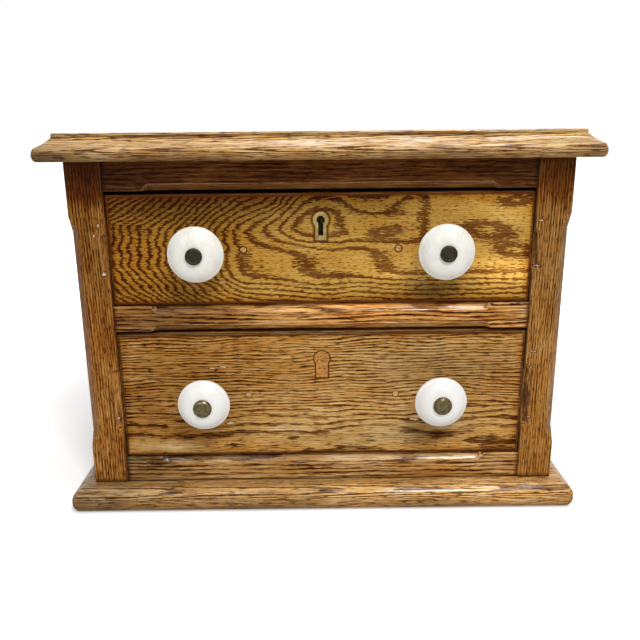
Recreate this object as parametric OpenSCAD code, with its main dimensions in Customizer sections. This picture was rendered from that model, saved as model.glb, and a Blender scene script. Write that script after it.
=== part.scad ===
// Two-drawer spool cabinet: a small oak chest with a moulded top and base,
// stop-chamfered posts and rails, framed sides and porcelain drawer knobs.
// Millimetres. X runs to the right, the front faces -Y and Z is up.
// The origin is on the underside, midway between the outer faces of the posts.

/* [Carcase] */
// Width across the corner posts
case_w = 380; // [320:1:460]
// Depth from the front post faces to the back edge
case_d = 240; // [215:1:320]
// Width of a corner post, seen from the front
post_w = 27; // [25:0.5:34]
// Depth of a corner post, seen from the side
post_d = 27; // [24:0.5:34]

/* [Openings and rails] */
// Height of the bottom rails
bottom_rail_h = 22.2; // [18:0.1:30]
// Height of the lower drawer opening
lower_open_h = 107.9; // [85:0.1:150]
// Height of the middle rails
middle_rail_h = 20.6; // [18:0.1:30]
// Height of the upper drawer opening
upper_open_h = 88.5; // [75:0.1:130]
// Height of the top rails
top_rail_h = 22.3; // [18:0.1:30]
// Depth of a front rail, front to back
front_rail_d = 44; // [36:0.5:56]
// Depth of a back rail, front to back
back_rail_d = 18; // [14:0.5:24]
// Set-back of the front rails behind the post faces
rail_set = 1; // [0:0.1:3]

/* [Top board] */
// Thickness of the top board
top_t = 20; // [17:0.5:26]
// Overhang past the posts at the front and sides
top_over = 16.8; // [13:0.1:22]
// Width of the moulding around the raised field
field_in = 11.8; // [9:0.1:16]
// Drop from the raised field to the moulding
field_step = 3; // [1.5:0.1:5]
// Height of the rounded nose
nose_h = 9.5; // [7:0.1:12]
// How far the nose bulges past its upper and lower edges
nose_bulge = 1.8; // [1:0.1:3]
// Hollow of the slope between the field and the nose
slope_hollow = 0.6; // [0:0.1:1.2]
// Plan radius of the front corners of the top
top_corner_r = 3; // [1:0.5:8]

/* [Base board] */
// Thickness of the base board
base_t = 20.5; // [16:0.5:26]
// Projection past the posts at the front and sides
base_over = 16.5; // [10:0.1:20]
// Radius along the upper edge of the base
base_round = 7; // [3:0.5:9]
// Radius along the lower edge of the base
base_under = 6; // [2:0.5:6]
// Plan radius of the front corners of the base
base_corner_r = 5; // [1:0.5:9]

/* [Stopped chamfers] */
// Width of the outer chamfer of a post on each of its two faces
outer_chamfer = 7; // [3:0.1:9]
// Length of the ramp at each end of the outer chamfer
outer_ramp = 12.5; // [4:0.5:20]
// Square length below the outer chamfer of a post
outer_foot = 32; // [20:0.5:60]
// Square length above the outer chamfer of a post
outer_head = 41; // [20:0.5:60]
// Width of the inner chamfers and the rail chamfers on each of their two faces
inner_chamfer = 5.2; // [2:0.1:6]
// Length of the ramp at each end of the inner chamfers and the rail chamfers
inner_ramp = 5; // [2:0.5:10]
// Square length below the inner chamfer beside a drawer
inner_low = 23; // [10:0.5:30]
// Square length above the inner chamfer beside a drawer
inner_high = 29; // [10:0.5:34]
// Square length at each end of a chamfered rail
rail_stop = 28.7; // [15:0.1:45]

/* [Side frames] */
// Thickness of a side rail
side_rail_t = 14; // [11:0.5:16]
// Height of a side rail
side_rail_h = 34; // [26:0.5:50]
// Thickness of a side panel, and of the tenons in line with it
panel_t = 8; // [6:0.5:9]
// Depth of the tongue of a side panel in its groove
panel_tongue = 6; // [3:0.5:8]

/* [Back boards] */
// Thickness of a back board
board_t = 8; // [6:0.5:11]
// Width of the rebate in a back post
board_lap = 10; // [6:0.5:12]
// Gap between back boards
board_gap = 0.6; // [0.2:0.1:1.5]

/* [Joinery] */
// Length of a tenon
tenon_l = 11; // [8:0.5:13]
// Thickness of the tenons on the front and back rails
tenon_t = 8; // [6:0.5:10]
// Distance from the face of a front rail to its tenon
tenon_set = 6; // [4:0.5:9]
// Shoulder above and below a tenon
shoulder = 3; // [1:0.5:5]
// Wood left between tenons that meet in a post
tenon_web = 1; // [0.5:0.1:2]
// Thickness of the stub tenons on the runners
stub_t = 8; // [6:0.5:10]
// Shoulder beside a stub tenon
stub_shoulder = 3; // [2:0.5:5]
// Glue gap around tenons, dovetails, panels and inlays
fit = 0.1; // [0.05:0.01:0.2]

/* [Runners] */
// Width of a drawer runner
runner_w = 16; // [13:0.5:22]
// Height of a drawer guide above its runner
guide_h = 18; // [10:0.5:30]
// Distance of the drawer stops from the centre
stop_x = 110; // [60:1:130]
// Width of a drawer stop
stop_w = 22; // [12:0.5:30]
// Length of a drawer stop, front to back
stop_l = 12; // [8:0.5:16]
// Height of a drawer stop
stop_h = 5; // [3:0.5:6]
// Gap between a stop and the closed drawer front
stop_gap = 0.3; // [0.1:0.1:1]

/* [Drawers] */
// Gap between a closed drawer and the back boards
back_gap = 15; // [4:0.5:40]
// Thickness of a drawer front
front_t = 18; // [16:0.5:22]
// Set-back of the drawer fronts behind the post faces
front_set = 2; // [0:0.1:4]
// Wood in front of the lapped dovetails
front_lap = 6; // [4:0.5:8]
// Gap on each side of a drawer
side_gap = 1; // [0.5:0.1:2]
// Gap between a drawer side and its runner
run_gap = 0.2; // [0.1:0.05:0.5]
// Gap below a drawer front
front_low = 1; // [0.5:0.1:2]
// Gap above a drawer front
front_high = 2.7; // [1.5:0.1:4]
// Thickness of a drawer side
side_t = 11; // [9:0.5:14]
// Drop from the top of the front to the top of the sides
side_drop = 1.5; // [0:0.1:4]
// Thickness of a drawer back
back_t = 9; // [7:0.5:12]
// Drop from the top of the sides to the top of the back
back_drop = 5; // [0:0.5:10]
// Thickness of a drawer bottom
bottom_t = 6; // [4:0.5:8]
// Height of a drawer bottom above the lower edge of the sides
bottom_up = 8; // [7:0.5:9]
// Depth of the groove for a drawer bottom
groove = 4.5; // [3:0.5:6]
// Width of a dovetail pin at its narrow side
pin_w = 4; // [2:0.5:7]
// Run of a dovetail for one part of flare
tail_slope = 7; // [5:0.5:9]
// Dovetails at the front of an upper drawer side
upper_tails = 3; // [2:1:4]
// Dovetails at the front of a lower drawer side
lower_tails = 4; // [2:1:4]

/* [Knobs] */
// Distance between the two knobs of a drawer
knob_spacing = 185.8; // [150:0.1:210]
// Diameter of the upper knobs
upper_knob_d = 42; // [36:0.5:50]
// Diameter of the lower knobs
lower_knob_d = 40.8; // [36:0.1:50]
// Distance from the drawer face to the rim of a knob
knob_reach = 19; // [15:0.5:26]
// Height of the crown of a knob ahead of its rim
knob_crown = 8; // [5:0.5:12]
// Radius of the rim of a knob
knob_rim = 2.2; // [1:0.1:4]
// Diameter of the foot of a knob
knob_foot_d = 23; // [18:0.5:28]
// Diameter of the neck of a knob
knob_neck_d = 18; // [13:0.5:20]
// Diameter of the flat heads of the upper knob bolts
upper_cap_d = 12.5; // [9:0.1:16]
// Height of the heads of the upper knob bolts
upper_cap_h = 2.4; // [1.5:0.1:5]
// Diameter of the domed heads of the lower knob bolts
lower_cap_d = 14.4; // [9:0.1:17]
// Height of the domed heads of the lower knob bolts
lower_cap_h = 3.8; // [1.5:0.1:6]
// Height of the straight edge of a bolt head
cap_edge = 1; // [0.4:0.1:1.4]
// Diameter of a knob bolt
bolt_d = 5; // [3:0.1:6]
// Clearance around a knob bolt
bolt_clear = 0.3; // [0.1:0.05:0.5]
// Width of a square nut
nut_w = 9; // [8:0.5:12]
// Height of a square nut
nut_h = 4; // [3:0.5:6]
// Diameter of a washer
washer_d = 14; // [11:0.5:18]
// Thickness of a washer
washer_t = 1.2; // [0.8:0.1:2]
// Length of a knob bolt past its nut
bolt_tail = 2; // [0.5:0.5:5]

/* [Lock and keyholes] */
// Distance from the top of the upper front to the keyhole centre
keyhole_drop = 20; // [17:0.5:24]
// Diameter of the round part of the keyhole
keyhole_d = 6.2; // [5.4:0.1:7]
// Width of the slot of the keyhole
keyhole_slot = 3.6; // [2.5:0.1:4.5]
// Height of the keyhole
keyhole_h = 15; // [12:0.1:17]
// Diameter of the head of the escutcheon
escutcheon_d = 12.4; // [10:0.1:15]
// Width of the body of the escutcheon
escutcheon_w = 8.7; // [7:0.1:10]
// Height of the escutcheon
escutcheon_h = 21.7; // [19.5:0.1:26]
// Depth of the escutcheon in the wood
escutcheon_t = 4; // [2:0.5:5]
// How far the escutcheon stands proud of the wood
escutcheon_proud = 0.3; // [0:0.1:1]
// Width of the lock plate
lock_w = 50; // [44:1:64]
// Thickness of the lock plate
plate_t = 2; // [1.5:0.1:2.5]
// Width of the lock case
lock_case_w = 32; // [26:1:34]
// Thickness of the lock case wall
lock_wall = 1; // [0.6:0.1:1.4]
// Wood between the drawer face and the lock case
lock_wood = 7; // [6:0.5:8]
// Lock plate below the keyhole
lock_margin = 4; // [3.5:0.5:8]
// Width of the lock bolt
lock_bolt_w = 16; // [10:0.5:20]
// Throw of the lock bolt
lock_throw = 7; // [5:0.5:8]
// Running clearance around the lock bolt
lock_clear = 0.3; // [0.2:0.05:0.5]
// Diameter of the pin that centres the key
key_pin_d = 2.4; // [1.5:0.1:3]
// Distance from the top of the lower front to the centre of the patch head
patch_drop = 21.4; // [15:0.1:30]
// Diameter of the head of the keyhole patch
patch_d = 12.4; // [9:0.1:15]
// Width of the body of the keyhole patch
patch_w = 9.6; // [6:0.1:12]
// Height of the keyhole patch
patch_h = 22.2; // [18:0.1:28]
// Depth of the keyhole patch in the wood
patch_t = 5; // [3:0.5:8]
// Distance between the plugged handle holes of a drawer
plug_spacing = 119; // [90:1:130]
// Diameter of a handle-hole plug
plug_d = 4.5; // [3:0.1:8]
// Length of a handle-hole plug
plug_l = 10; // [5:0.5:14]

/* [Fasteners] */
// Diameter of the frame screws
screw_d = 4; // [3:0.1:5]
// Head diameter of the frame screws
screw_head_d = 8; // [6.5:0.1:9]
// Depth of the frame screw heads below the surface
screw_sink = 0.6; // [0.3:0.1:1.5]
// Depth that the screws reach into the top board
top_bite = 12; // [8:0.5:14]
// Depth that the screws reach into the posts
post_bite = 25; // [15:0.5:35]
// Distance of the base screws from the outer faces of the posts
base_screw_in = 7.5; // [6:0.5:8]
// Diameter of the lock screws
lock_screw_d = 2.4; // [1.6:0.1:3]
// Head diameter of the lock screws
lock_screw_head_d = 5; // [3.5:0.1:6]
// Length of the lock screws
lock_screw_l = 11; // [7:0.5:13]
// Distance of the lock screws from the edges of the lock plate
lock_screw_in = 4.5; // [3.5:0.5:5]
// Diameter of the nails
nail_d = 1.8; // [1.2:0.1:2.4]
// Head diameter of the nails
nail_head_d = 4; // [3:0.1:6]
// Thickness of a nail head
nail_head_t = 1; // [0.6:0.1:1.6]
// Distance of the back nails from the edges of a board
nail_in = 20; // [10:0.5:30]
// Depth that the drawer bottom nails reach into the drawer back
bottom_bite = 14; // [8:0.5:20]
// Clearance around screws and nails
nail_clear = 0.1; // [0.05:0.01:0.2]

/* [Hidden] */
// Smoothness of the turned faces
$fn = 64;
// Straight steps in a drawn arc or curve
arc_steps = 8;
// Overshoot of a cut past the face that it opens
past = 1;

// Colours of the woods, the glaze and the metals
oak = "#9b662e";
front_oak = "#a8752f";
lining = "#c39a63";
board_wood = "#8a6238";
patch_wood = "#b5763c";
porcelain = "#f1f0ea";
bronze = "#4a3b2a";
aged_brass = "#6d5a3a";
brass = "#c3a765";
steel = "#6f6d69";

// Planes of the carcase
case_x = case_w / 2;
open_x = case_x - post_w;
front_y = -case_d / 2;
back_y = case_d / 2;
front_post_y = front_y + post_d;
back_post_y = back_y - post_d;
lower_z = base_t + bottom_rail_h;
middle_z = lower_z + lower_open_h;
upper_z = middle_z + middle_rail_h;
top_z = upper_z + upper_open_h;
case_z = top_z + top_rail_h;
full_z = case_z + top_t;

// Underside and height of the rails and runners at each level
bottom_level = [base_t, bottom_rail_h];
middle_level = [middle_z, middle_rail_h];
top_level = [top_z, top_rail_h];
levels = [bottom_level, middle_level, top_level];

// Front and back rails
rail_y0 = front_y + rail_set;
rail_y1 = rail_y0 + front_rail_d;
back_rail_y1 = back_y - board_t;
back_rail_y0 = back_rail_y1 - back_rail_d;
front_tenon_y = rail_y0 + tenon_set + tenon_t / 2;
back_tenon_y = back_rail_y0 + back_rail_d / 2;
stub_l = back_rail_d / 2 - tenon_web;

// Side frames, set so that their tenons clear those of the front and back rails
panel_x0 = open_x + tenon_l + tenon_web;
panel_x1 = panel_x0 + panel_t;
side_rail_x0 = (panel_x0 + panel_x1 - side_rail_t) / 2;
side_rail_x1 = side_rail_x0 + side_rail_t;
side_shoulder = panel_tongue + tenon_web;
low_side_z = base_t;
high_side_z = case_z - side_rail_h;

// Back boards
board_w = (2 * (open_x + board_lap) - 4 * board_gap) / 3;
nail_l = board_t + back_rail_d / 2;

// Curves of the slope and the nose of the top
hollow_way = [0.6, 0.8];
nose_r = (nose_h * nose_h / 4 + nose_bulge * nose_bulge) / (2 * nose_bulge);
nose_angle = asin(nose_h / 2 / nose_r);

// Drawers: floor, height and dovetails of each opening
upper_bay = [upper_z, upper_open_h, upper_tails];
lower_bay = [lower_z, lower_open_h, lower_tails];
drawer_x = open_x - side_gap;
lining_x = drawer_x - side_t;
drawer_y0 = front_y + front_set;
drawer_y1 = drawer_y0 + front_t;
drawer_end = back_rail_y1 - back_gap;
back_face = drawer_end - back_t;
knob_x = knob_spacing / 2;

// Turned curves of the knobs and bolt heads: angles around the rim, and shares of a size
rim_from = -75;
rim_to = 60;
crown_from = 72;
neck_share = 0.55;
crown_share = 0.72;
cap_share = 0.4;

// Lock in the upper drawer front
lock_z1 = upper_z + upper_open_h - front_high;
key_z = lock_z1 - keyhole_drop;
lock_z0 = key_z + keyhole_d / 2 - keyhole_h - lock_margin;
lock_case_y = drawer_y0 + lock_wood;
plate_y = drawer_y1 - plate_t;
bolt_y0 = lock_case_y + lock_wall + lock_clear;
bolt_y1 = plate_y - lock_clear;
bolt_z0 = key_z + keyhole_d / 2 + lock_clear;
bolt_z1 = lock_z1 - lock_clear;

// Heights of the parts of the drawer in a bay
function front_z0(bay) = bay[0] + front_low;
function front_z1(bay) = bay[0] + bay[1] - front_high;
function side_z0(bay) = bay[0] + run_gap;
function side_z1(bay) = front_z1(bay) - side_drop;
function floor_z(bay) = side_z0(bay) + bottom_up;
function back_z0(bay) = floor_z(bay) + bottom_t;
function back_z1(bay) = side_z1(bay) - back_drop;
function mid_z(bay) = (front_z0(bay) + front_z1(bay)) / 2;

// Points along an arc
function arc(x, z, r, from, to) = [
    for (i = [0 : arc_steps])
        let (a = from + (to - from) * i / arc_steps)
            [x + r * cos(a), z + r * sin(a)]
];

// Points along a curve from p to q that is drawn towards c
function curve(p, c, q) = [
    for (i = [0 : arc_steps])
        let (t = i / arc_steps)
            (1 - t) * (1 - t) * p + 2 * t * (1 - t) * c + t * t * q
];

// The same points on the other side of the centre, in the opposite order
function mirrored(points) = [
    for (i = [len(points) - 1 : -1 : 0])
        [-points[i][0], points[i][1]]
];

// Edge of the top board from the raised field down to its underside, with its nose at w
function top_edge(w) =
    let (
        p = [w - field_in, full_z - field_step],
        q = [w - nose_bulge, case_z + nose_h],
        c = (p + q) / 2 - 2 * slope_hollow * hollow_way
    )
    concat(
        [[w - field_in, full_z]],
        curve(p, c, q),
        arc(w - nose_r, case_z + nose_h / 2, nose_r, nose_angle, -nose_angle)
    );

// Edge of the base board from its top down to its underside, with its nose at w
function base_edge(w) = concat(
    arc(w - base_round, base_t - base_round, base_round, 90, 0),
    arc(w - base_under, base_under, base_under, 0, -90)
);

// Plan of a board with round front corners
function board_plan(x, y, r) = concat(
    [[x, back_y]],
    arc(x - r, r - y, r, 0, -90),
    arc(r - x, r - y, r, -90, -180),
    [[-x, back_y]]
);

// Box between two opposite corners
module block(low, high) {
    translate(low)
        cube(high - low);
}

// A shape mirrored to the left side
module on_left() {
    mirror([1, 0, 0])
        children();
}

// A shape on the right and its mirror image on the left
module pair() {
    children();
    on_left()
        children();
}

// Board moulded along its front and sides: outlines seen from the front, side and top
module moulded_board(front_outline, side_outline, plan) {
    reach = 2 * (case_w + case_d);
    intersection() {
        rotate([90, 0, 0])
            linear_extrude(height = reach, center = true)
                polygon(front_outline);
        rotate([90, 0, 90])
            linear_extrude(height = reach, center = true)
                polygon(side_outline);
        linear_extrude(height = reach)
            polygon(plan);
    }
}

// Cutter for a chamfer that starts at the origin and runs up an edge, with the wood towards +X and +Y
module stopped_chamfer(width, ramp, length) {
    depth = width / sqrt(2);
    reach = 2 * width;
    rotate([0, 0, 45])
        rotate([90, 0, 0])
            linear_extrude(height = 2 * reach, center = true)
                polygon([
                    [-reach, 0], [0, 0], [depth, ramp],
                    [depth, length - ramp], [0, length], [-reach, length]
                ]);
}

// Cutter for the stopped chamfer along the lower edge of a front rail
module rail_chamfer(z) {
    length = 2 * (open_x - rail_stop);
    translate([-length / 2, rail_y0, z])
        rotate(a = 120, v = [1, 1, 1])
            stopped_chamfer(inner_chamfer, inner_ramp, length);
}

// Cutter for the stopped chamfer along the upper edge of a front rail
module rail_top_chamfer(z) {
    translate([0, 0, z])
        mirror([0, 0, 1])
            rail_chamfer(0);
}

// Countersunk screw that points up from the origin, or its hole when gap is set
module screw(d, head_d, length, gap) {
    head_h = (head_d - d) / 2;
    cylinder(h = head_h, d1 = head_d + 2 * gap, d2 = d + 2 * gap);
    cylinder(h = length + gap, d = d + 2 * gap);
    if (gap > 0) {
        translate([0, 0, -screw_sink - past])
            cylinder(h = screw_sink + past, d = head_d + 2 * gap);
    }
}

// Nail that points down from the origin, or its hole when gap is set
module nail(length, gap) {
    translate([0, 0, -nail_head_t - gap])
        cylinder(h = nail_head_t + (gap > 0 ? past : 0), d = nail_head_d + 2 * gap);
    translate([0, 0, -length - gap])
        cylinder(h = length, d = nail_d + 2 * gap);
}

// Tenons at both ends of a front or back rail, or their mortises when gap is set
module rail_tenons(level, y, gap) {
    pair()
        block(
            [open_x - past, y - tenon_t / 2 - gap, level[0] + shoulder - gap],
            [open_x + tenon_l + gap, y + tenon_t / 2 + gap, level[0] + level[1] - shoulder + gap]
        );
}

// Stub tenons at both ends of the right runner of a level, or their mortises when gap is set
module runner_stubs(level, gap) {
    mid = level[0] + level[1] / 2;
    block(
        [open_x - runner_w + stub_shoulder - gap, rail_y1 - stub_l - gap, mid - stub_t / 2 - gap],
        [open_x - stub_shoulder + gap, back_rail_y0 + stub_l + gap, mid + stub_t / 2 + gap]
    );
}

// Tenons at both ends of the right side rail at a height, or their mortises when gap is set
module side_tenons(z, gap) {
    block(
        [panel_x0 - gap, front_post_y - tenon_l - gap, z + side_shoulder - gap],
        [panel_x1 + gap, back_post_y + tenon_l + gap, z + side_rail_h - side_shoulder + gap]
    );
}

// Right side panel, or the groove for it when gap is set
module side_panel(gap) {
    block(
        [panel_x0 - gap, front_post_y - panel_tongue - gap, low_side_z + side_rail_h - panel_tongue - gap],
        [panel_x1 + gap, back_post_y + panel_tongue + gap, high_side_z + panel_tongue + gap]
    );
}

// Joints that every right-hand post takes from the side frame
module side_mortises() {
    side_tenons(low_side_z, fit);
    side_tenons(high_side_z, fit);
    side_panel(fit);
}

// Places of the screws that hold the top: through the front rail, the back rail and the kickers
module at_top_screws() {
    x = board_w + board_gap;
    kicker_x = open_x - runner_w / 2;
    spots = [
        [x, (rail_y0 + rail_y1) / 2], [x, back_tenon_y], [kicker_x, (rail_y1 + back_rail_y0) / 2]
    ];
    pair()
        for (spot = spots)
            translate([spot[0], spot[1], top_z + screw_sink])
                children();
}

// Places of the screws that hold the base to the posts
module at_base_screws() {
    pair()
        for (y = [front_y + base_screw_in, back_y - base_screw_in])
            translate([case_x - base_screw_in, y, screw_sink])
                children();
}

module top_screw(gap) {
    screw(screw_d, screw_head_d, top_rail_h - screw_sink + top_bite, gap);
}

module base_screw(gap) {
    screw(screw_d, screw_head_d, base_t - screw_sink + post_bite, gap);
}

// Left edge of a back board, counted from the left
function board_x(i) = -(open_x + board_lap) + board_gap + i * (board_w + board_gap);

// Places of the nails through the back boards, seen from behind
module at_back_nails() {
    for (i = [0 : 2])
        for (level = levels)
            for (x = [board_x(i) + nail_in, board_x(i) + board_w - nail_in])
                translate([x, back_y, level[0] + level[1] / 2])
                    rotate([-90, 0, 0])
                        children();
}

module top_board() {
    w = case_x + top_over;
    d = case_d / 2 + top_over;
    edge = top_edge(w);
    front = [for (p = top_edge(d)) [-p[0], p[1]]];
    color(oak)
        difference() {
            moulded_board(
                concat(edge, mirrored(edge)),
                concat(front, [[back_y, case_z], [back_y, full_z]]),
                board_plan(w, d, top_corner_r)
            );
            at_top_screws()
                top_screw(nail_clear);
        }
}

module base_board() {
    w = case_x + base_over;
    d = case_d / 2 + base_over;
    edge = base_edge(w);
    front = [for (p = base_edge(d)) [-p[0], p[1]]];
    color(oak)
        difference() {
            moulded_board(
                concat(edge, mirrored(edge)),
                concat(front, [[back_y, 0], [back_y, base_t]]),
                board_plan(w, d, base_corner_r)
            );
            at_base_screws()
                base_screw(nail_clear);
        }
}

// Right front post with its outer chamfer and one inner chamfer beside each drawer
module front_post() {
    outer_z = base_t + outer_foot;
    color(oak)
        difference() {
            block([open_x, front_y, base_t], [case_x, front_post_y, case_z]);
            translate([case_x, front_y, outer_z])
                on_left()
                    stopped_chamfer(outer_chamfer, outer_ramp, case_z - outer_head - outer_z);
            for (bay = [lower_bay, upper_bay])
                translate([open_x, front_y, bay[0] + inner_low])
                    stopped_chamfer(inner_chamfer, inner_ramp, bay[1] - inner_low - inner_high);
            for (level = levels)
                rail_tenons(level, front_tenon_y, fit);
            side_mortises();
            at_base_screws()
                base_screw(nail_clear);
        }
}

// Right back post with the rebate for the back boards
module back_post() {
    color(oak)
        difference() {
            block([open_x, back_post_y, base_t], [case_x, back_y, case_z]);
            block(
                [open_x - past, back_rail_y1, base_t - past],
                [open_x + board_lap, back_y + past, case_z + past]
            );
            for (level = levels)
                rail_tenons(level, back_tenon_y, fit);
            side_mortises();
            at_base_screws()
                base_screw(nail_clear);
        }
}

// Front rail of a level, before its chamfers
module front_rail(level) {
    difference() {
        union() {
            block([-open_x, rail_y0, level[0]], [open_x, rail_y1, level[0] + level[1]]);
            rail_tenons(level, front_tenon_y, 0);
        }
        pair()
            runner_stubs(level, fit);
    }
}

module rail_front_bottom() {
    color(oak)
        difference() {
            front_rail(bottom_level);
            rail_top_chamfer(lower_z);
        }
}

module rail_front_middle() {
    color(oak)
        difference() {
            front_rail(middle_level);
            rail_chamfer(middle_z);
            rail_top_chamfer(upper_z);
        }
}

// Top front rail with the mortise that the lock bolt shoots into
module rail_front_top() {
    reach = bolt_z1 + lock_throw + lock_clear;
    x = lock_bolt_w / 2 + 2 * lock_clear;
    color(oak)
        difference() {
            front_rail(top_level);
            rail_chamfer(top_z);
            block([-x, bolt_y0 - 2 * lock_clear, top_z - past], [x, bolt_y1 + 2 * lock_clear, reach]);
            at_top_screws()
                top_screw(nail_clear);
        }
}

// Back rail of a level
module back_rail(level) {
    color(lining)
        difference() {
            union() {
                block([-open_x, back_rail_y0, level[0]], [open_x, back_rail_y1, level[0] + level[1]]);
                rail_tenons(level, back_tenon_y, 0);
            }
            pair()
                runner_stubs(level, fit);
            at_back_nails()
                nail(nail_l, nail_clear);
            at_top_screws()
                top_screw(nail_clear);
        }
}

// Right side rail at a height, grooved for the panel
module side_rail(z) {
    color(oak)
        difference() {
            union() {
                block([side_rail_x0, front_post_y, z], [side_rail_x1, back_post_y, z + side_rail_h]);
                side_tenons(z, 0);
            }
            side_panel(fit);
        }
}

// Back board, counted from the left
module back_board(i) {
    color(board_wood)
        difference() {
            block([board_x(i), back_rail_y1, base_t], [board_x(i) + board_w, back_y, case_z]);
            at_back_nails()
                nail(nail_l, nail_clear);
        }
}

// Right runner of a level
module runner(level) {
    color(lining)
        difference() {
            union() {
                block(
                    [open_x - runner_w, rail_y1, level[0]],
                    [open_x, back_rail_y0, level[0] + level[1]]
                );
                runner_stubs(level, 0);
            }
            at_top_screws()
                top_screw(nail_clear);
        }
}

// Strips between the posts that keep the drawers straight
module drawer_guides() {
    color(lining)
        pair()
            for (z = [lower_z, upper_z])
                block([open_x, front_post_y, z], [side_rail_x0, back_post_y, z + guide_h]);
}

// Blocks on the rails that the closed drawer fronts stop against
module drawer_stops() {
    y = drawer_y1 + stop_gap;
    color(lining)
        pair()
            for (z = [lower_z, upper_z])
                block([stop_x - stop_w / 2, y, z], [stop_x + stop_w / 2, y + stop_l, z + stop_h]);
}

module top_screws() {
    color(steel)
        at_top_screws()
            top_screw(0);
}

module base_screws() {
    color(steel)
        at_base_screws()
            base_screw(0);
}

module back_nails() {
    color(steel)
        at_back_nails()
            nail(nail_l, 0);
}

// Dovetails of the right drawer side between two heights, or their sockets when gap is set
module tails(low, high, count, root_y, end_y, gap) {
    pitch = (high - low) / count;
    wide = (pitch - pin_w) / 2 + gap;
    narrow = wide - abs(end_y - root_y) / tail_slope;
    ahead = sign(end_y - root_y);
    outer = drawer_x + (gap > 0 ? past : 0);
    for (i = [0 : count - 1]) {
        mid = low + (i + 0.5) * pitch;
        translate([lining_x - gap, 0, 0])
            rotate([90, 0, 90])
                linear_extrude(height = outer - lining_x + gap)
                    polygon([
                        [root_y - ahead * past, mid - narrow], [root_y, mid - narrow],
                        [end_y + ahead * gap, mid - wide], [end_y + ahead * gap, mid + wide],
                        [root_y, mid + narrow], [root_y - ahead * past, mid + narrow]
                    ]);
    }
}

// Lapped dovetails where a drawer side meets the front
module front_tails(bay, gap) {
    tails(front_z0(bay), side_z1(bay), bay[2], drawer_y1, drawer_y0 + front_lap, gap);
}

// Through dovetails where a drawer side meets the back
module back_tails(bay, gap) {
    tails(back_z0(bay), back_z1(bay), bay[2] - 1, back_face, drawer_end, gap);
}

// Groove for the drawer bottom
module floor_groove(bay) {
    z = floor_z(bay);
    x = lining_x + groove;
    block([-x, drawer_y1 - groove, z], [x, drawer_end + past, z + bottom_t + fit]);
}

// Places of the knob bolts of a drawer, on the face of its front
module at_knobs(bay) {
    pair()
        translate([knob_x, drawer_y0, mid_z(bay)])
            rotate([90, 0, 0])
                children();
}

// Places of the plugged handle holes of a drawer, on the face of its front
module at_plugs(bay) {
    pair()
        translate([plug_spacing / 2, drawer_y0, mid_z(bay)])
            rotate([-90, 0, 0])
                children();
}

// Front of the drawer in a bay, without its lock or patch
module drawer_front(bay) {
    difference() {
        block([-drawer_x, drawer_y0, front_z0(bay)], [drawer_x, drawer_y1, front_z1(bay)]);
        pair()
            front_tails(bay, fit);
        floor_groove(bay);
        at_knobs(bay)
            translate([0, 0, -front_t - past])
                cylinder(h = front_t + 2 * past, d = bolt_d + 2 * bolt_clear);
        at_plugs(bay)
            translate([0, 0, -past])
                cylinder(h = plug_l + fit + past, d = plug_d + 2 * fit);
    }
}

// Right side of the drawer in a bay
module drawer_side(bay) {
    color(lining)
        difference() {
            union() {
                block([lining_x, drawer_y1, side_z0(bay)], [drawer_x, drawer_end, side_z1(bay)]);
                front_tails(bay, 0);
            }
            difference() {
                block(
                    [lining_x - past, back_face, back_z0(bay)],
                    [drawer_x + past, drawer_end + past, back_z1(bay)]
                );
                back_tails(bay, 0);
            }
            translate([0, front_lap - front_t, 0])
                floor_groove(bay);
            floor_groove(bay);
        }
}

// Back of the drawer in a bay
module drawer_back(bay) {
    color(lining)
        difference() {
            block([-drawer_x, back_face, back_z0(bay)], [drawer_x, drawer_end, back_z1(bay)]);
            pair()
                back_tails(bay, fit);
            at_bottom_nails(bay)
                nail(bottom_t + bottom_bite, nail_clear);
        }
}

// Bottom of the drawer in a bay
module drawer_bottom(bay) {
    x = lining_x + groove - fit;
    z = floor_z(bay);
    color(lining)
        difference() {
            block([-x, drawer_y1 - groove + fit, z], [x, drawer_end, z + bottom_t]);
            at_bottom_nails(bay)
                nail(bottom_t + bottom_bite, nail_clear);
        }
}

// Places of the nails up through a drawer bottom into the drawer back
module at_bottom_nails(bay) {
    for (x = [-knob_x, 0, knob_x])
        translate([x, drawer_end - back_t / 2, floor_z(bay)])
            rotate([180, 0, 0])
                children();
}

module drawer_bottom_nails(bay) {
    color(steel)
        at_bottom_nails(bay)
            nail(bottom_t + bottom_bite, 0);
}

// Right knob of a drawer: a turned foot and neck, a wide rim and a low crown
module knob(bay, d) {
    r = d / 2;
    bore = bolt_d / 2 + bolt_clear;
    foot = knob_foot_d / 2;
    waist = knob_neck_d - (foot + r - knob_rim) / 2;
    seat = upper_cap_d / 2;
    color(porcelain)
        translate([knob_x, drawer_y0, mid_z(bay)])
            rotate([90, 0, 0])
                rotate_extrude()
                    polygon(concat(
                        [[bore, 0], [foot, 0]],
                        curve(
                            [foot, knob_rim], [waist, knob_reach * neck_share],
                            [r - knob_rim, knob_reach - knob_rim]
                        ),
                        arc(r - knob_rim, knob_reach, knob_rim, rim_from, rim_to),
                        curve(
                            [r - knob_rim * (1 - cos(crown_from)), knob_reach + knob_rim * sin(crown_from)],
                            [r * crown_share, knob_reach + knob_crown], [seat, knob_reach + knob_crown]
                        ),
                        [[bore, knob_reach + knob_crown]]
                    ));
}

// Two knob bolts, each a head that bears on the knob and a shank that takes the nut
module knob_bolts(bay, head_d, head_h, metal) {
    shank = knob_reach + knob_crown + front_t + washer_t + nut_h + bolt_tail;
    r = bolt_d / 2;
    color(metal)
        at_knobs(bay)
            translate([0, 0, knob_reach + knob_crown])
                rotate_extrude()
                    polygon(concat(
                        [[0, -shank], [r, -shank], [r, 0], [head_d / 2, 0]],
                        curve([head_d / 2, cap_edge], [head_d * cap_share, head_h], [0, head_h])
                    ));
}

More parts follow.
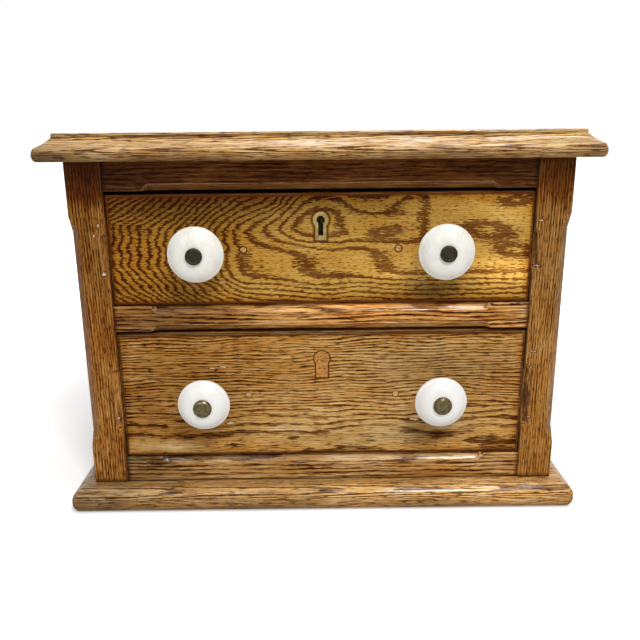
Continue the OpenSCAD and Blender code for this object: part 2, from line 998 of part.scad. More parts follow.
// Washers and square nuts behind a drawer front
module knob_nuts(bay) {
    color(steel)
        at_knobs(bay)
            translate([0, 0, -front_t])
                mirror([0, 0, 1]) {
                    difference() {
                        cylinder(h = washer_t, d = washer_d);
                        translate([0, 0, -past])
                            cylinder(h = washer_t + 2 * past, d = bolt_d + 2 * bolt_clear);
                    }
                    translate([0, 0, washer_t + nail_clear])
                        difference() {
                            translate([-nut_w / 2, -nut_w / 2, 0])
                                cube([nut_w, nut_w, nut_h]);
                            translate([0, 0, -past])
                                cylinder(h = nut_h + 2 * past, d = bolt_d + 2 * nail_clear);
                        }
                }
}

module handle_plugs(bay) {
    color(patch_wood)
        at_plugs(bay)
            cylinder(h = plug_l, d = plug_d);
}

// Keyhole shape that runs back from y, with its round head centred at z
module keyhole_shape(y, z, depth, head_d, body_w, height) {
    translate([0, y + depth, z])
        rotate([90, 0, 0])
            linear_extrude(height = depth)
                union() {
                    circle(d = head_d);
                    translate([-body_w / 2, head_d / 2 - height])
                        square([body_w, height - head_d / 2]);
                }
}

// Keyhole through everything between two planes
module keyhole(y0, y1, gap) {
    keyhole_shape(y0, key_z, y1 - y0, keyhole_d + 2 * gap, keyhole_slot + 2 * gap, keyhole_h + 2 * gap);
}

// Escutcheon before its keyhole is cut, or its recess when gap is set
module escutcheon_blank(y0, gap) {
    keyhole_shape(
        y0, key_z, drawer_y0 + escutcheon_t + gap - y0,
        escutcheon_d + 2 * gap, escutcheon_w + 2 * gap, escutcheon_h + 2 * gap
    );
}

module escutcheon() {
    color(brass)
        difference() {
            escutcheon_blank(drawer_y0 - escutcheon_proud, 0);
            keyhole(drawer_y0 - escutcheon_proud - past, drawer_y0 + escutcheon_t + past, 0);
        }
}

// Lock plate and its selvage along the drawer edge, or their recess when gap is set
module lock_plate_blank(gap) {
    x = lock_w / 2 + gap;
    open = gap > 0 ? past : 0;
    block([-x, plate_y - gap, lock_z0 - gap], [x, drawer_y1 + open, lock_z1 + open]);
    block([-x, lock_case_y - gap, lock_z1 - plate_t - gap], [x, drawer_y1 + open, lock_z1 + open]);
}

// Outside of the lock case, or its pocket when gap is set
module lock_case_blank(gap) {
    x = lock_case_w / 2 + gap;
    low = lock_z0 + lock_margin - 2 * lock_wall - gap;
    block([-x, lock_case_y - gap, low], [x, plate_y, lock_z1 - plate_t]);
}

// Places of the lock screws, on the back of the lock plate
module at_lock_screws() {
    pair()
        for (z = [lock_z0 + lock_screw_in, lock_z1 - plate_t - lock_screw_in])
            translate([lock_w / 2 - lock_screw_in, drawer_y1, z])
                rotate([90, 0, 0])
                    children();
}

module lock_screw(gap) {
    screw(lock_screw_d, lock_screw_head_d, lock_screw_l, gap);
}

module lock_plate() {
    slot = lock_bolt_w / 2 + lock_clear;
    pin_l = plate_y - lock_case_y - lock_wall - lock_clear;
    color(brass) {
        difference() {
            lock_plate_blank(0);
            block(
                [-slot, bolt_y0 - lock_clear, lock_z1 - plate_t - past],
                [slot, bolt_y1 + lock_clear, lock_z1 + past]
            );
            at_lock_screws()
                lock_screw(nail_clear);
        }
        translate([0, plate_y + past, key_z])
            rotate([90, 0, 0])
                cylinder(h = pin_l + past, d = key_pin_d);
    }
}

// Case of the lock, open towards the plate and under the selvage
module lock_case() {
    x = lock_case_w / 2 - lock_wall;
    low = lock_z0 + lock_margin - lock_wall;
    color(steel)
        difference() {
            lock_case_blank(0);
            block([-x, lock_case_y + lock_wall, low], [x, plate_y + past, lock_z1]);
            keyhole(lock_case_y - past, lock_case_y + lock_wall + past, 0);
        }
}

module lock_screws() {
    color(brass)
        at_lock_screws()
            lock_screw(0);
}

// Bolt of the lock, with the notch that the key lifts it by
module lock_bolt() {
    notch = keyhole_slot / 2;
    color(brass)
        difference() {
            block([-lock_bolt_w / 2, bolt_y0, bolt_z0], [lock_bolt_w / 2, bolt_y1, bolt_z1]);
            block([-notch, bolt_y0 - past, bolt_z0 - past], [notch, bolt_y1 + past, bolt_z0 + keyhole_slot]);
        }
}

module upper_front() {
    color(front_oak)
        difference() {
            drawer_front(upper_bay);
            escutcheon_blank(drawer_y0 - past, fit);
            keyhole(drawer_y0 - past, lock_case_y + past, fit);
            lock_plate_blank(fit);
            lock_case_blank(fit);
            at_lock_screws()
                lock_screw(nail_clear);
        }
}

// Wooden patch in the old keyhole of the lower drawer, or its recess when gap is set
module patch_blank(y0, gap) {
    keyhole_shape(
        y0, front_z1(lower_bay) - patch_drop, drawer_y0 + patch_t + gap - y0,
        patch_d + 2 * gap, patch_w + 2 * gap, patch_h + 2 * gap
    );
}

module keyhole_patch() {
    color(patch_wood)
        patch_blank(drawer_y0, 0);
}

module lower_front() {
    color(front_oak)
        difference() {
            drawer_front(lower_bay);
            patch_blank(drawer_y0 - past, fit);
        }
}

top_board();
base_board();
on_left() front_post();  // post_front_left
front_post();  // post_front_right
on_left() back_post();  // post_back_left
back_post();  // post_back_right
rail_front_bottom();
rail_front_middle();
rail_front_top();
back_rail(bottom_level);  // rail_back_bottom
back_rail(middle_level);  // rail_back_middle
back_rail(top_level);  // rail_back_top
on_left() side_rail(low_side_z);  // side_rail_low_left
side_rail(low_side_z);  // side_rail_low_right
on_left() side_rail(high_side_z);  // side_rail_high_left
side_rail(high_side_z);  // side_rail_high_right
color(oak) on_left() side_panel(0);  // side_panel_left
color(oak) side_panel(0);  // side_panel_right
back_board(0);  // back_board_left
back_board(1);  // back_board_middle
back_board(2);  // back_board_right
on_left() runner(bottom_level);  // runner_lower_left
runner(bottom_level);  // runner_lower_right
on_left() runner(middle_level);  // runner_upper_left
runner(middle_level);  // runner_upper_right
on_left() runner(top_level);  // kicker_left
runner(top_level);  // kicker_right
drawer_guides();
drawer_stops();
top_screws();
base_screws();
back_nails();
upper_front();
on_left() drawer_side(upper_bay);  // upper_side_left
drawer_side(upper_bay);  // upper_side_right
drawer_back(upper_bay);  // upper_back
drawer_bottom(upper_bay);  // upper_bottom
on_left() knob(upper_bay, upper_knob_d);  // upper_knob_left
knob(upper_bay, upper_knob_d);  // upper_knob_right
knob_bolts(upper_bay, upper_cap_d, upper_cap_h, bronze);  // upper_knob_bolts
knob_nuts(upper_bay);  // upper_knob_nuts
handle_plugs(upper_bay);  // upper_plugs
drawer_bottom_nails(upper_bay);  // upper_bottom_nails
escutcheon();
lock_plate();
lock_case();
lock_screws();
lock_bolt();
lower_front();
on_left() drawer_side(lower_bay);  // lower_side_left
drawer_side(lower_bay);  // lower_side_right
drawer_back(lower_bay);  // lower_back
drawer_bottom(lower_bay);  // lower_bottom
on_left() knob(lower_bay, lower_knob_d);  // lower_knob_left
knob(lower_bay, lower_knob_d);  // lower_knob_right
knob_bolts(lower_bay, lower_cap_d, lower_cap_h, aged_brass);  // lower_knob_bolts
knob_nuts(lower_bay);  // lower_knob_nuts
handle_plugs(lower_bay);  // lower_plugs
drawer_bottom_nails(lower_bay);  // lower_bottom_nails
keyhole_patch();
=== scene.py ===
"""Looks of a two-drawer oak spool cabinet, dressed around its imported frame.

Every length is in metres, apart from names that end in _mm and the patterns of the
finishes, which are laid out in millimetres.
"""

import logging
import math
from collections.abc import Callable, Sequence
from dataclasses import dataclass, field, replace
from enum import Enum

import bmesh
import bpy
from mathutils import Euler, Matrix, Vector, noise


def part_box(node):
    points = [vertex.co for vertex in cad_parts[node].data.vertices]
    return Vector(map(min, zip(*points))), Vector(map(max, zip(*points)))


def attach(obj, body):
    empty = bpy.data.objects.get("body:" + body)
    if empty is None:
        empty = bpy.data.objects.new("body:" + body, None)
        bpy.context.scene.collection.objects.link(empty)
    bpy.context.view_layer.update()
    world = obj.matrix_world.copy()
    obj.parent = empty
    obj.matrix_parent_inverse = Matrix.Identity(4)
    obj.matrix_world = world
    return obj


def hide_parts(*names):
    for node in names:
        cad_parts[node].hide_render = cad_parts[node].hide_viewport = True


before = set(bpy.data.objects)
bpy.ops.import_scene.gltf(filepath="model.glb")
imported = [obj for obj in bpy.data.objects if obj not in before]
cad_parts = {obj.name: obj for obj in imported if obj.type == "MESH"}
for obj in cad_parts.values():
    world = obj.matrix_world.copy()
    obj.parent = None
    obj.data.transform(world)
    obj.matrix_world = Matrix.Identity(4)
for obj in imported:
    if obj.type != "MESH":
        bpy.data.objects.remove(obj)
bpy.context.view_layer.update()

LOG = logging.getLogger("spool_cabinet")
MM = 0.001
MERGE = 2e-6
LEVEL = 1e-5
FLAT = 0.999
SMOOTH_DEG = 36.0
ORIGIN = Vector()
Colour = tuple[float, float, float]
Triple = tuple[float, float, float]
Point2 = tuple[float, float]
Section = list[tuple[float, float, float, float]]


class Grain(Enum):
    """Way in which the fibres of a board run, as the turn that brings them to X."""

    ALONG_X = (0.0, 0.0, 0.0)
    ALONG_Y = (0.0, 0.0, -math.pi / 2)
    ALONG_Z = (0.0, math.pi / 2, 0.0)

    @property
    def axis(self) -> int:
        """Index of the axis along the fibres."""
        return ("ALONG_X", "ALONG_Y", "ALONG_Z").index(self.name)


class Way(Enum):
    """Way in which a fastener is driven, as the turn of its own +Z."""

    UP = (0.0, 0.0, 0.0)
    TO_FRONT = (math.pi / 2, 0.0, 0.0)
    TO_BACK = (-math.pi / 2, 0.0, 0.0)


class Mottle(Enum):
    """Noise of a board: size of its grains in millimetres, step of the seed and count of finer layers."""

    BEND = (110.0, 26.0, 26.0), 0, 2.0
    FRAY = (6.0, 1.0, 1.0), 1, 2.0
    CLOUD = (60.0, 22.0, 22.0), 4, 2.5
    BLOTCH = (22.0, 2.6, 2.6), 5, 3.0
    OVERHANG_SHADE = (30.0, 6.0, 6.0), 6, 2.0
    BROKEN = (50.0, 5.0, 5.0), 7, 2.0
    CHIP = (1.6, 1.1, 1.1), 8, 2.0
    SCAR = (1.8, 1.0, 1.0), 8, 2.0
    BORDER_SHADE = (16.0, 8.0, 8.0), 11, 2.0
    WAVE = (80.0, 60.0, 26.0), 0, 2.0
    SPREAD = (70.0, 60.0, 16.0), 9, 2.0
    CURL = (38.0, 30.0, 12.0), 0, 2.0


@dataclass(frozen=True)
class Signal:
    """Output of a node, on which plain arithmetic adds Math nodes."""

    wiring: "Wiring"
    socket: bpy.types.NodeSocket

    def __add__(self, other: "Value") -> "Signal":
        """Sum with a signal or a number."""
        return self.wiring.math("ADD", self, other)

    __radd__ = __add__

    def __sub__(self, other: "Value") -> "Signal":
        """Difference to a signal or a number."""
        return self.wiring.math("SUBTRACT", self, other)

    def __rsub__(self, other: float) -> "Signal":
        """Difference of a number to the signal."""
        return self.wiring.math("SUBTRACT", other, self)

    def __mul__(self, other: "Value") -> "Signal":
        """Product with a signal or a number."""
        return self.wiring.math("MULTIPLY", self, other)

    def __truediv__(self, other: "Value") -> "Signal":
        """Quotient by a signal or a number."""
        return self.wiring.math("DIVIDE", self, other)

    def __abs__(self) -> "Signal":
        """Size without its sign."""
        return self.wiring.math("ABSOLUTE", self)


Value = Signal | float
Inputs = dict[str | int, object]


class Wiring:
    """Adds nodes to a node tree and links them."""

    def __init__(self, tree: bpy.types.NodeTree) -> None:
        """Take the tree that the nodes go into."""
        self.tree = tree

    def feed(self, socket: bpy.types.NodeSocket, value: object) -> None:
        """Link an output to a socket, or set the socket's own value.

        Args:
            socket: Input socket of a node.
            value: Output of another node, or a plain value.
        """
        if isinstance(value, Signal):
            self.tree.links.new(value.socket, socket)
        elif socket.type == "RGBA":
            socket.default_value = (*value, 1.0)
        else:
            socket.default_value = value

    def add(self, kind: str, inputs: Inputs | None = None, **settings: object) -> bpy.types.Node:
        """Add one node.

        Args:
            kind: Blender's name of the node type.
            inputs: Values or outputs for its input sockets, by name or place.
            settings: Values for the node's own properties.

        Returns:
            The new node.
        """
        node = self.tree.nodes.new(kind)
        for name, value in settings.items():
            setattr(node, name, value)
        for name, value in (inputs or {}).items():
            self.feed(node.inputs[name], value)
        return node

    def get(self, kind: str, inputs: Inputs | None = None, output: str | int = 0, **settings: object) -> Signal:
        """Add one node and take one of its outputs, by name or place."""
        return Signal(self, self.add(kind, inputs, **settings).outputs[output])

    def math(self, operation: str, *values: Value) -> Signal:
        """Add a Math node with its operands in order."""
        return self.get("ShaderNodeMath", dict(enumerate(values)), operation=operation)

    def vector(self, operation: str, first: Signal, second: object = None) -> Signal:
        """Add a Vector Math node.

        Args:
            operation: Name of the operation.
            first: First operand.
            second: Second operand, which is the factor for SCALE.

        Returns:
            The result, a number for LENGTH.
        """
        inputs: Inputs = {0: first}
        if second is not None:
            inputs["Scale" if operation == "SCALE" else 1] = second
        output = "Value" if operation == "LENGTH" else "Vector"
        return self.get("ShaderNodeVectorMath", inputs, output, operation=operation)

    def split(self, vector: Signal) -> tuple[Signal, ...]:
        """Take the three parts of a vector."""
        return tuple(Signal(self, part) for part in self.add("ShaderNodeSeparateXYZ", {0: vector}).outputs)

    def ease(self, value: Signal, low: float, high: float, first: float = 0.0, last: float = 1.0) -> Signal:
        """Turn a value smoothly from one level to another.

        Args:
            value: The value to read.
            low: Where the turn starts.
            high: Where it ends.
            first: Level before the start.
            last: Level after the end.

        Returns:
            The eased level.
        """
        return self.get("ShaderNodeMapRange", {
            "Value": value, "From Min": low, "From Max": high, "To Min": first, "To Max": last,
        }, interpolation_type="SMOOTHSTEP")

    def ramp(self, value: Signal, soft: float) -> Signal:
        """Keep a value where it is above zero, with a soft start of a given width."""
        return (self.math("SQRT", value * value + soft * soft) + value) * 0.5

    def blend(self, share: Signal, first: Signal | Colour, second: Signal | Colour) -> Signal:
        """Mix two colours by the share of the second one."""
        return self.get("ShaderNodeMix", {0: share, 6: first, 7: second}, 2, data_type="RGBA")

    def steep(self, colour: Signal, power: Signal) -> Signal:
        """Deepen a colour as thicker varnish does, where the power is above 1; it carries the grain's tone and also
        painted shade and light.
        """
        return self.get("ShaderNodeGamma", {"Color": colour, "Gamma": power})

    def rays(self) -> tuple[Signal, Signal]:
        """Tell rays apart.

        Returns:
            Level of what is seen directly or through glass, and of what is mirrored.
        """
        node = self.add("ShaderNodeLightPath")
        camera, glass, mirror = (Signal(self, node.outputs[f"Is {kind} Ray"])
                                 for kind in ("Camera", "Transmission", "Glossy"))
        return self.math("MAXIMUM", camera, glass), mirror


class Coating(Wiring):
    """Wiring of one material, with its shader and the position on the piece in millimetres."""

    def __init__(self, name: str, centre: Vector = ORIGIN, turn: Triple = (0.0, 0.0, 0.0),
                 seed: float = 0.0) -> None:
        """Make the material with a shader, an output and the position.

        Args:
            name: Name of the material.
            centre: Point that becomes the origin of the pattern.
            turn: Turn that brings the pattern's X to the piece.
            seed: Number that sets the noises of this material apart.
        """
        self.material = bpy.data.materials.new(name)
        self.material.use_nodes = True
        super().__init__(self.material.node_tree)
        self.tree.nodes.clear()
        self.seed = seed
        self.shader = self.add("ShaderNodeBsdfPrincipled")
        self.add("ShaderNodeOutputMaterial", {"Surface": Signal(self, self.shader.outputs[0])})
        self.place = self.get("ShaderNodeMapping", {
            "Vector": self.get("ShaderNodeTexCoord", output="Object"), "Rotation": turn,
            "Location": -(Euler(turn).to_matrix() @ centre) / MM, "Scale": (1 / MM,) * 3,
        })

    def speckle(self, size: Triple, seed: float, detail: float = 1.0, rough: float = 0.5,
                output: int = 0) -> Signal:
        """Add a noise whose grains have a given size.

        Args:
            size: Size of the grains along each axis, in millimetres.
            seed: Number that sets this noise apart from the others.
            detail: Count of finer layers.
            rough: Weight of the finer layers.
            output: 0 for a value, 1 for a colour.

        Returns:
            The noise.
        """
        return self.get("ShaderNodeTexNoise", {
            "Vector": self.vector("DIVIDE", self.place, size), "W": seed, "Scale": 1.0, "Detail": detail,
            "Roughness": rough,
        }, output, noise_dimensions="4D")

    def mottle(self, kind: Mottle, output: int = 0) -> Signal:
        """Add one of the noises of a board, as a value or, for output 1, as a colour."""
        size, step, layers = kind.value
        return self.speckle(size, self.seed + step, layers, output=output)

    def bent(self, kind: Mottle, reach: Triple) -> tuple[Signal, ...]:
        """Bend the position by a noise, by up to half of a reach, and take its three parts."""
        bend = self.vector("SUBTRACT", self.mottle(kind, 1), (0.5, 0.5, 0.5))
        return self.split(self.vector("ADD", self.place, self.vector("MULTIPLY", bend, reach)))

    def read(self, name: str) -> Signal:
        """Read an attribute of the piece."""
        return self.get("ShaderNodeAttribute", output="Fac", attribute_name=name)

    def paint_light_spots(self, colour: Signal, spots: Sequence["Lens"]) -> Signal:
        """Paint light and shade into a colour in some spots, partly stains: brighter for painted light, darker for
        painted shade.

        Args:
            colour: The colour.
            spots: The spots, with a negative strength where it gets darker.

        Returns:
            The changed colour.
        """
        for spot in spots:
            colour = self.vector("SCALE", colour, spot.draw(self) + 1.0)
        return colour

    def scar(self, colour: Signal, spots: Sequence["Lens"], grain: Mottle | None,
             layers: Sequence[tuple[float, float, float, Colour]]) -> Signal:
        """Paint small marks.

        Args:
            colour: Colour round the marks.
            spots: The marks.
            grain: Noise that breaks their edges.
            layers: Start, end, share and colour of each layer, from the rim inwards.

        Returns:
            The colour with the marks.
        """
        for spot in spots:
            level = spot.draw(self)
            if grain:
                level = level * (self.mottle(grain) * 2.0)
            for low, high, share, tint in layers:
                colour = self.blend(self.ease(level, low, high, 0.0, share), colour, tint)
        return colour

    def paint(self, inputs: dict[str, object]) -> None:
        """Feed inputs of the shader."""
        for name, value in inputs.items():
            self.feed(self.shader.inputs[name], value)

    def relief(self, height: Signal, depth: float, strength: float) -> None:
        """Bump the surface by a height from 0 to 1, which stands for a depth in metres."""
        bump = {"Height": height, "Distance": depth, "Strength": strength}
        self.paint({"Normal": self.get("ShaderNodeBump", bump)})


@dataclass(frozen=True)
class Lens:
    """Soft lens-shaped spot, in millimetres from the middle of its board."""

    x: float
    z: float
    length: float
    height: float
    turn: float
    strength: float

    def draw(self, coat: Coating) -> Signal:
        """Wire the spot.

        Args:
            coat: The material's wiring.

        Returns:
            The spot's level, highest in its middle.
        """
        local = coat.get("ShaderNodeMapping", {
            "Vector": coat.place, "Location": (self.x, 0, self.z), "Rotation": (0, math.radians(self.turn), 0),
            "Scale": (self.length, 1e4, self.height),
        }, vector_type="TEXTURE")
        reach = coat.vector("LENGTH", local)
        return coat.math("EXPONENT", reach * reach * -1.0) * self.strength


@dataclass(frozen=True)
class KeyholeMark:
    """Dark line round a keyhole-shaped inlay, in millimetres from the front's middle."""

    head_z: float
    head_d: float
    width: float
    foot_z: float
    reach: float

    def draw(self, coat: Coating) -> Signal:
        """Wire the line.

        Args:
            coat: The material's wiring.

        Returns:
            The line's level, 1 on the inlay and close to it.
        """
        x, _, z = coat.split(coat.place)
        above = z - self.head_z
        head = coat.vector("LENGTH", coat.get("ShaderNodeCombineXYZ", {"X": x, "Z": above})) - self.head_d / 2
        ends = coat.math("MAXIMUM", above, self.foot_z - z)
        stem = coat.math("MAXIMUM", abs(x) - self.width / 2, ends)
        return coat.ease(coat.math("MINIMUM", head, stem), 0.25 * self.reach, self.reach, 1.0, 0.0)


@dataclass(frozen=True)
class Sweep:
    """Level that changes smoothly along a drawer front: start, end and change of each turn."""

    level: float
    turns: tuple[Triple, ...]

    def draw(self, coat: Coating, x: Signal) -> Signal:
        """Wire the level at a position along the front."""
        return sum((coat.ease(x, start, end, 0.0, change) for start, end, change in self.turns), self.level)


@dataclass(frozen=True)
class Board:
    """One board's own cut: where its fibres run and where the heart of the tree lies."""

    node: str
    grain: Grain
    heart_mm: Point2
    seed: float
    tone: float = 1.0
    drift: float = 0.0
    # Painted shade below the top's overhang, partly grime, darkening the board's upper end.
    overhang_shade_and_soiling: float = 0.0
    lift: float = 0.0
    seam_mm: float = 0.0
    # Painted shade along the board's foot, where it meets the base.
    foot: float = 0.0
    chips: tuple[Lens, ...] = ()
    # Spots of painted light and painted shade, partly stains.
    painted_light_and_stains: tuple[Lens, ...] = ()

    @property
    def middle(self) -> Vector:
        """Middle of the board's box."""
        low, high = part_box(self.node)
        return (low + high) / 2

    @property
    def half_mm(self) -> Vector:
        """Half of the size of the board's box."""
        low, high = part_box(self.node)
        return (high - low) / 2 / MM


CHIP = (0.78, 0.7, 0.58)
LATE_FADE = (0.92, 1.0, 1.0, 0.0)
BREAK_BAND = (0.38, 0.6)
PORE_BAND = (0.53, 0.66)
WORN_BAND = (0.42, 0.66, 0.04)
COAT_BAND = (0.4, 0.56, 0.1)
COAT_ROUGH = 0.16
SHADE_AND_SOILING_SHARE = 0.8
FIBRE_MM = 22.0
FINE_LAYERS = (2.0, 0.55)
OVERHANG_SHADE_RAGGED_MM = 40.0
OVERHANG_SHADE_BAND_MM = (22.0, 2.0)
OVERHANG_SHADE_POWER = 0.7
OVERHANG_SHADE_SHARE = 0.55
SEAM_REACH_MM = 5.0
SEAM_SHARE = 0.9
FOOT_SHADE_BAND_MM = (0.6, 2.8)
CHIP_RIM = (0.15, 0.4, 0.5)
CHIP_HEART = (0.6, 1.0, 0.8)
ROUGH_CLOUD = 0.2
ROUGH_PORES = 0.18
FIBRE_RISE = 0.5
LINE_SINK = 0.2
PORE_SINK = 0.6
WOOD_RELIEF = (0.3 * MM, 0.7)
BORDER_SHADE_BAND = (0.4, 1.5)
HALO_BAND = (0.36, 0.52, 0.85)
MARK_SHARE = 0.9
SCAR_RIM = (0.2, 0.4, 0.75)
SCAR_HEART = (0.5, 0.7, 0.85)


@dataclass(frozen=True)
class WoodFinish:
    """Ring-porous wood under varnish, or bare."""

    name: str
    pale: Colour
    deep: Colour
    pore: Colour
    bare: Colour
    ring_mm: float = 2.4
    line: Point2 = (0.35, 0.8)
    faint: float = 0.35
    contrast: float = 0.9
    pore_level: float = 0.8
    pore_pull: float = 0.14
    dash_mm: float = 7.0
    thin_mm: float = 0.9
    fibre_mm: float = 0.8
    streak: float = 0.5
    fray: float = 0.55
    bend_mm: float = 5.0
    gloss: float = 0.38
    shine: float = 0.06
    coat: float = 0.0
    cloud: float = 0.35
    wear: float = 0.3

    def rings(self, coat: Coating, board: Board) -> Signal:
        """Wire the count of growth rings from the heart of the tree.

        Args:
            coat: The material's wiring.
            board: The board's own cut.

        Returns:
            The ring count.
        """
        x, y, z = coat.bent(Mottle.BEND, (0.0, 2 * self.bend_mm, 2 * self.bend_mm))
        across = y - board.heart_mm[0] - x * board.drift
        up = z - board.heart_mm[1]
        return coat.math("SQRT", across * across + up * up) / self.ring_mm

    def tones(self, coat: Coating, board: Board, colour: Signal) -> Signal:
        """Add what one kind of board has beyond its grain.

        Args:
            coat: The material's wiring.
            board: The board's own cut.
            colour: Colour of the grain.

        Returns:
            The colour with the additions.
        """
        x, _, z = coat.split(coat.place)
        # Painted shade below the top's overhang, partly grime, at the board's upper end.
        if board.overhang_shade_and_soiling:
            top = board.half_mm[board.grain.axis]
            level = coat.mottle(Mottle.OVERHANG_SHADE) * OVERHANG_SHADE_RAGGED_MM + x
            share = coat.ease(level, top - OVERHANG_SHADE_BAND_MM[0], top - OVERHANG_SHADE_BAND_MM[1], 0.0, board.overhang_shade_and_soiling)
            colour = coat.steep(colour, share * OVERHANG_SHADE_POWER + 1.0)
            colour = coat.blend(share * OVERHANG_SHADE_SHARE, colour, self.pore)
        if board.seam_mm:
            edge = coat.ease(abs(x), board.seam_mm - SEAM_REACH_MM, board.seam_mm, 0.0, SEAM_SHARE)
            colour = coat.blend(edge, colour, self.pore)
        # Painted shade along the board's foot, where it meets the base.
        if board.foot:
            low = coat.ease(z + board.half_mm.z, *FOOT_SHADE_BAND_MM, board.foot, 0.0)
            colour = coat.blend(low, colour, self.pore)
        # Spots of painted light and painted shade, partly stains.
        colour = coat.paint_light_spots(colour, board.painted_light_and_stains)
        return coat.scar(colour, board.chips, Mottle.CHIP, ((*CHIP_RIM, self.pore), (*CHIP_HEART, CHIP)))

    def dress(self, board: Board) -> bpy.types.Material:
        """Make the material of one board.

        Args:
            board: The board's own cut.

        Returns:
            The material.
        """
        coat = Coating(f"{self.name}.{board.node}", board.middle, board.grain.value, board.seed)
        count = self.rings(coat, board) + (coat.mottle(Mottle.FRAY) - 0.5) * self.fray
        part = coat.math("FRACT", count)
        early = coat.ease(part, *self.line) * coat.ease(part, *LATE_FADE)
        early = early * coat.ease(coat.mottle(Mottle.BROKEN), *BREAK_BAND, self.faint, 1.0)
        dash = coat.speckle((self.dash_mm, self.thin_mm, self.thin_mm), board.seed + 2, *FINE_LAYERS)
        pores = coat.ease(early * self.pore_pull + dash, *PORE_BAND)
        fibre = coat.speckle((FIBRE_MM, self.fibre_mm, self.fibre_mm), board.seed + 3, *FINE_LAYERS)
        cloud = coat.mottle(Mottle.CLOUD)
        polish = coat.read("polish")

        colour = coat.blend(early * self.contrast, self.pale, self.deep)
        colour = coat.blend(pores * self.pore_level, colour, self.pore)
        power = cloud * (-2 * self.cloud) + (1.0 + self.cloud) + (fibre * (-2 * self.streak) + self.streak)
        colour = coat.steep(colour, power * (polish * board.lift + board.tone))
        colour = self.tones(coat, board, colour)
        # Painted shade with some grime on the mouldings: under the top's step, on its nose and under the base's
        # round.
        colour = coat.blend(coat.read("shade_and_soiling") * SHADE_AND_SOILING_SHARE, colour, self.pore)
        blotch = coat.mottle(Mottle.BLOTCH)
        colour = coat.blend(coat.read("worn") * coat.ease(blotch, *WORN_BAND, self.wear), colour, self.bare)

        rough = cloud * ROUGH_CLOUD + (self.gloss - ROUGH_CLOUD / 2) + pores * ROUGH_PORES
        coat.paint({"Base Color": colour, "Roughness": rough, "Specular IOR Level": self.shine})
        if self.coat:
            coat.paint({"Coat Weight": polish * coat.ease(blotch, *COAT_BAND, self.coat),
                        "Coat Roughness": COAT_ROUGH})
        coat.relief(fibre * FIBRE_RISE - (early * LINE_SINK + pores * PORE_SINK), *WOOD_RELIEF)
        return coat.material


@dataclass(frozen=True)
class FrontFinish(WoodFinish):
    """Oak of a drawer front, with listed tones of painted light and shade, and scars."""

    # Spots that deepen or bleach the colour: painted shade where the strength is negative, painted light where it is
    # positive.
    painted_shade_and_light: tuple[Lens, ...] = ()
    scars: tuple[Lens, ...] = ()
    halos: tuple[Lens, ...] = ()
    # Spots that scale the colour: painted light and shade, partly stains.
    painted_light_and_stains: tuple[Lens, ...] = ()
    mark: KeyholeMark | None = None
    # Border of painted shade and grime, and painted gap shadow on the arris, both fading off the front face.
    rim: float = 0.45
    border_shade_mm: float = 9.0
    gap_shadow_mm: Point2 = (1.2, 3.2)
    gap_shadow_share: float = 0.92
    face_mm: Point2 = (0.9, 3.0)

    def edge(self, coat: Coating, board: Board) -> tuple[Signal, Signal]:
        """Wire the painted shade and grime along the front's border.

        Args:
            coat: The material's wiring.
            board: The board's own cut.

        Returns:
            The level of the wide soft border of painted shade and grime, and that of the painted gap shadow on the
            arris.
        """
        half = board.half_mm
        x, y, z = coat.split(coat.place)
        inside = coat.math("MINIMUM", half.x - abs(x), half.z - abs(z))
        start, end = (share * self.border_shade_mm for share in BORDER_SHADE_BAND)
        soft = coat.ease(coat.mottle(Mottle.BORDER_SHADE) * self.border_shade_mm + inside, start, end, self.rim, 0.0)
        face = coat.ease(y, self.face_mm[0] - half.y, self.face_mm[1] - half.y, 1.0, 0.0)
        return soft * face, coat.ease(inside, *self.gap_shadow_mm, self.gap_shadow_share, 0.0) * face

    def tones(self, coat: Coating, board: Board, colour: Signal) -> Signal:
        """Add the front's paler and darker parts, which are painted light and shade and partly stains, and its scars.

        Args:
            coat: The material's wiring.
            board: The board's own cut.
            colour: Colour of the grain.

        Returns:
            The colour with the additions.
        """
        # Painted shade and grime round the border, and painted gap shadow on the arris.
        soft, line = self.edge(coat, board)
        power = soft + 1.0
        # Painted shade and painted light, deepening or bleaching the colour.
        for shade in self.painted_shade_and_light:
            power = power - shade.draw(coat)
        colour = coat.paint_light_spots(coat.steep(colour, power), self.painted_light_and_stains)
        colour = coat.blend(line, colour, self.pore)
        colour = coat.scar(colour, self.halos, None, ((*HALO_BAND, self.pore),))
        # On the upper front the dark line is painted shadow and grime round the escutcheon.
        if self.mark:
            colour = coat.blend(self.mark.draw(coat) * MARK_SHARE, colour, self.pore)
        return coat.scar(colour, self.scars, Mottle.SCAR, ((*SCAR_RIM, self.pore), (*SCAR_HEART, self.bare)))


@dataclass(frozen=True)
class PlainFinish(FrontFinish):
    """Front with wavy lines along it, which spread out low on the front."""

    calm_z: float = -20.0
    spread: float = 15.0
    blot: float = 2.8
    slant: float = 0.25
    phase: float = 0.53

    def rings(self, coat: Coating, board: Board) -> Signal:
        """Wire the ring count of the lines.

        Args:
            coat: The material's wiring.
            board: The board's own cut.

        Returns:
            The ring count.
        """
        x, y, z = coat.split(coat.place)
        up = x * board.drift + ((coat.mottle(Mottle.WAVE) - 0.5) * (3 * self.bend_mm) + z)
        count = coat.ramp(up - self.calm_z, self.spread) / self.ring_mm + self.phase
        return (coat.mottle(Mottle.SPREAD) - 0.5) * self.blot + (y * self.slant + count)


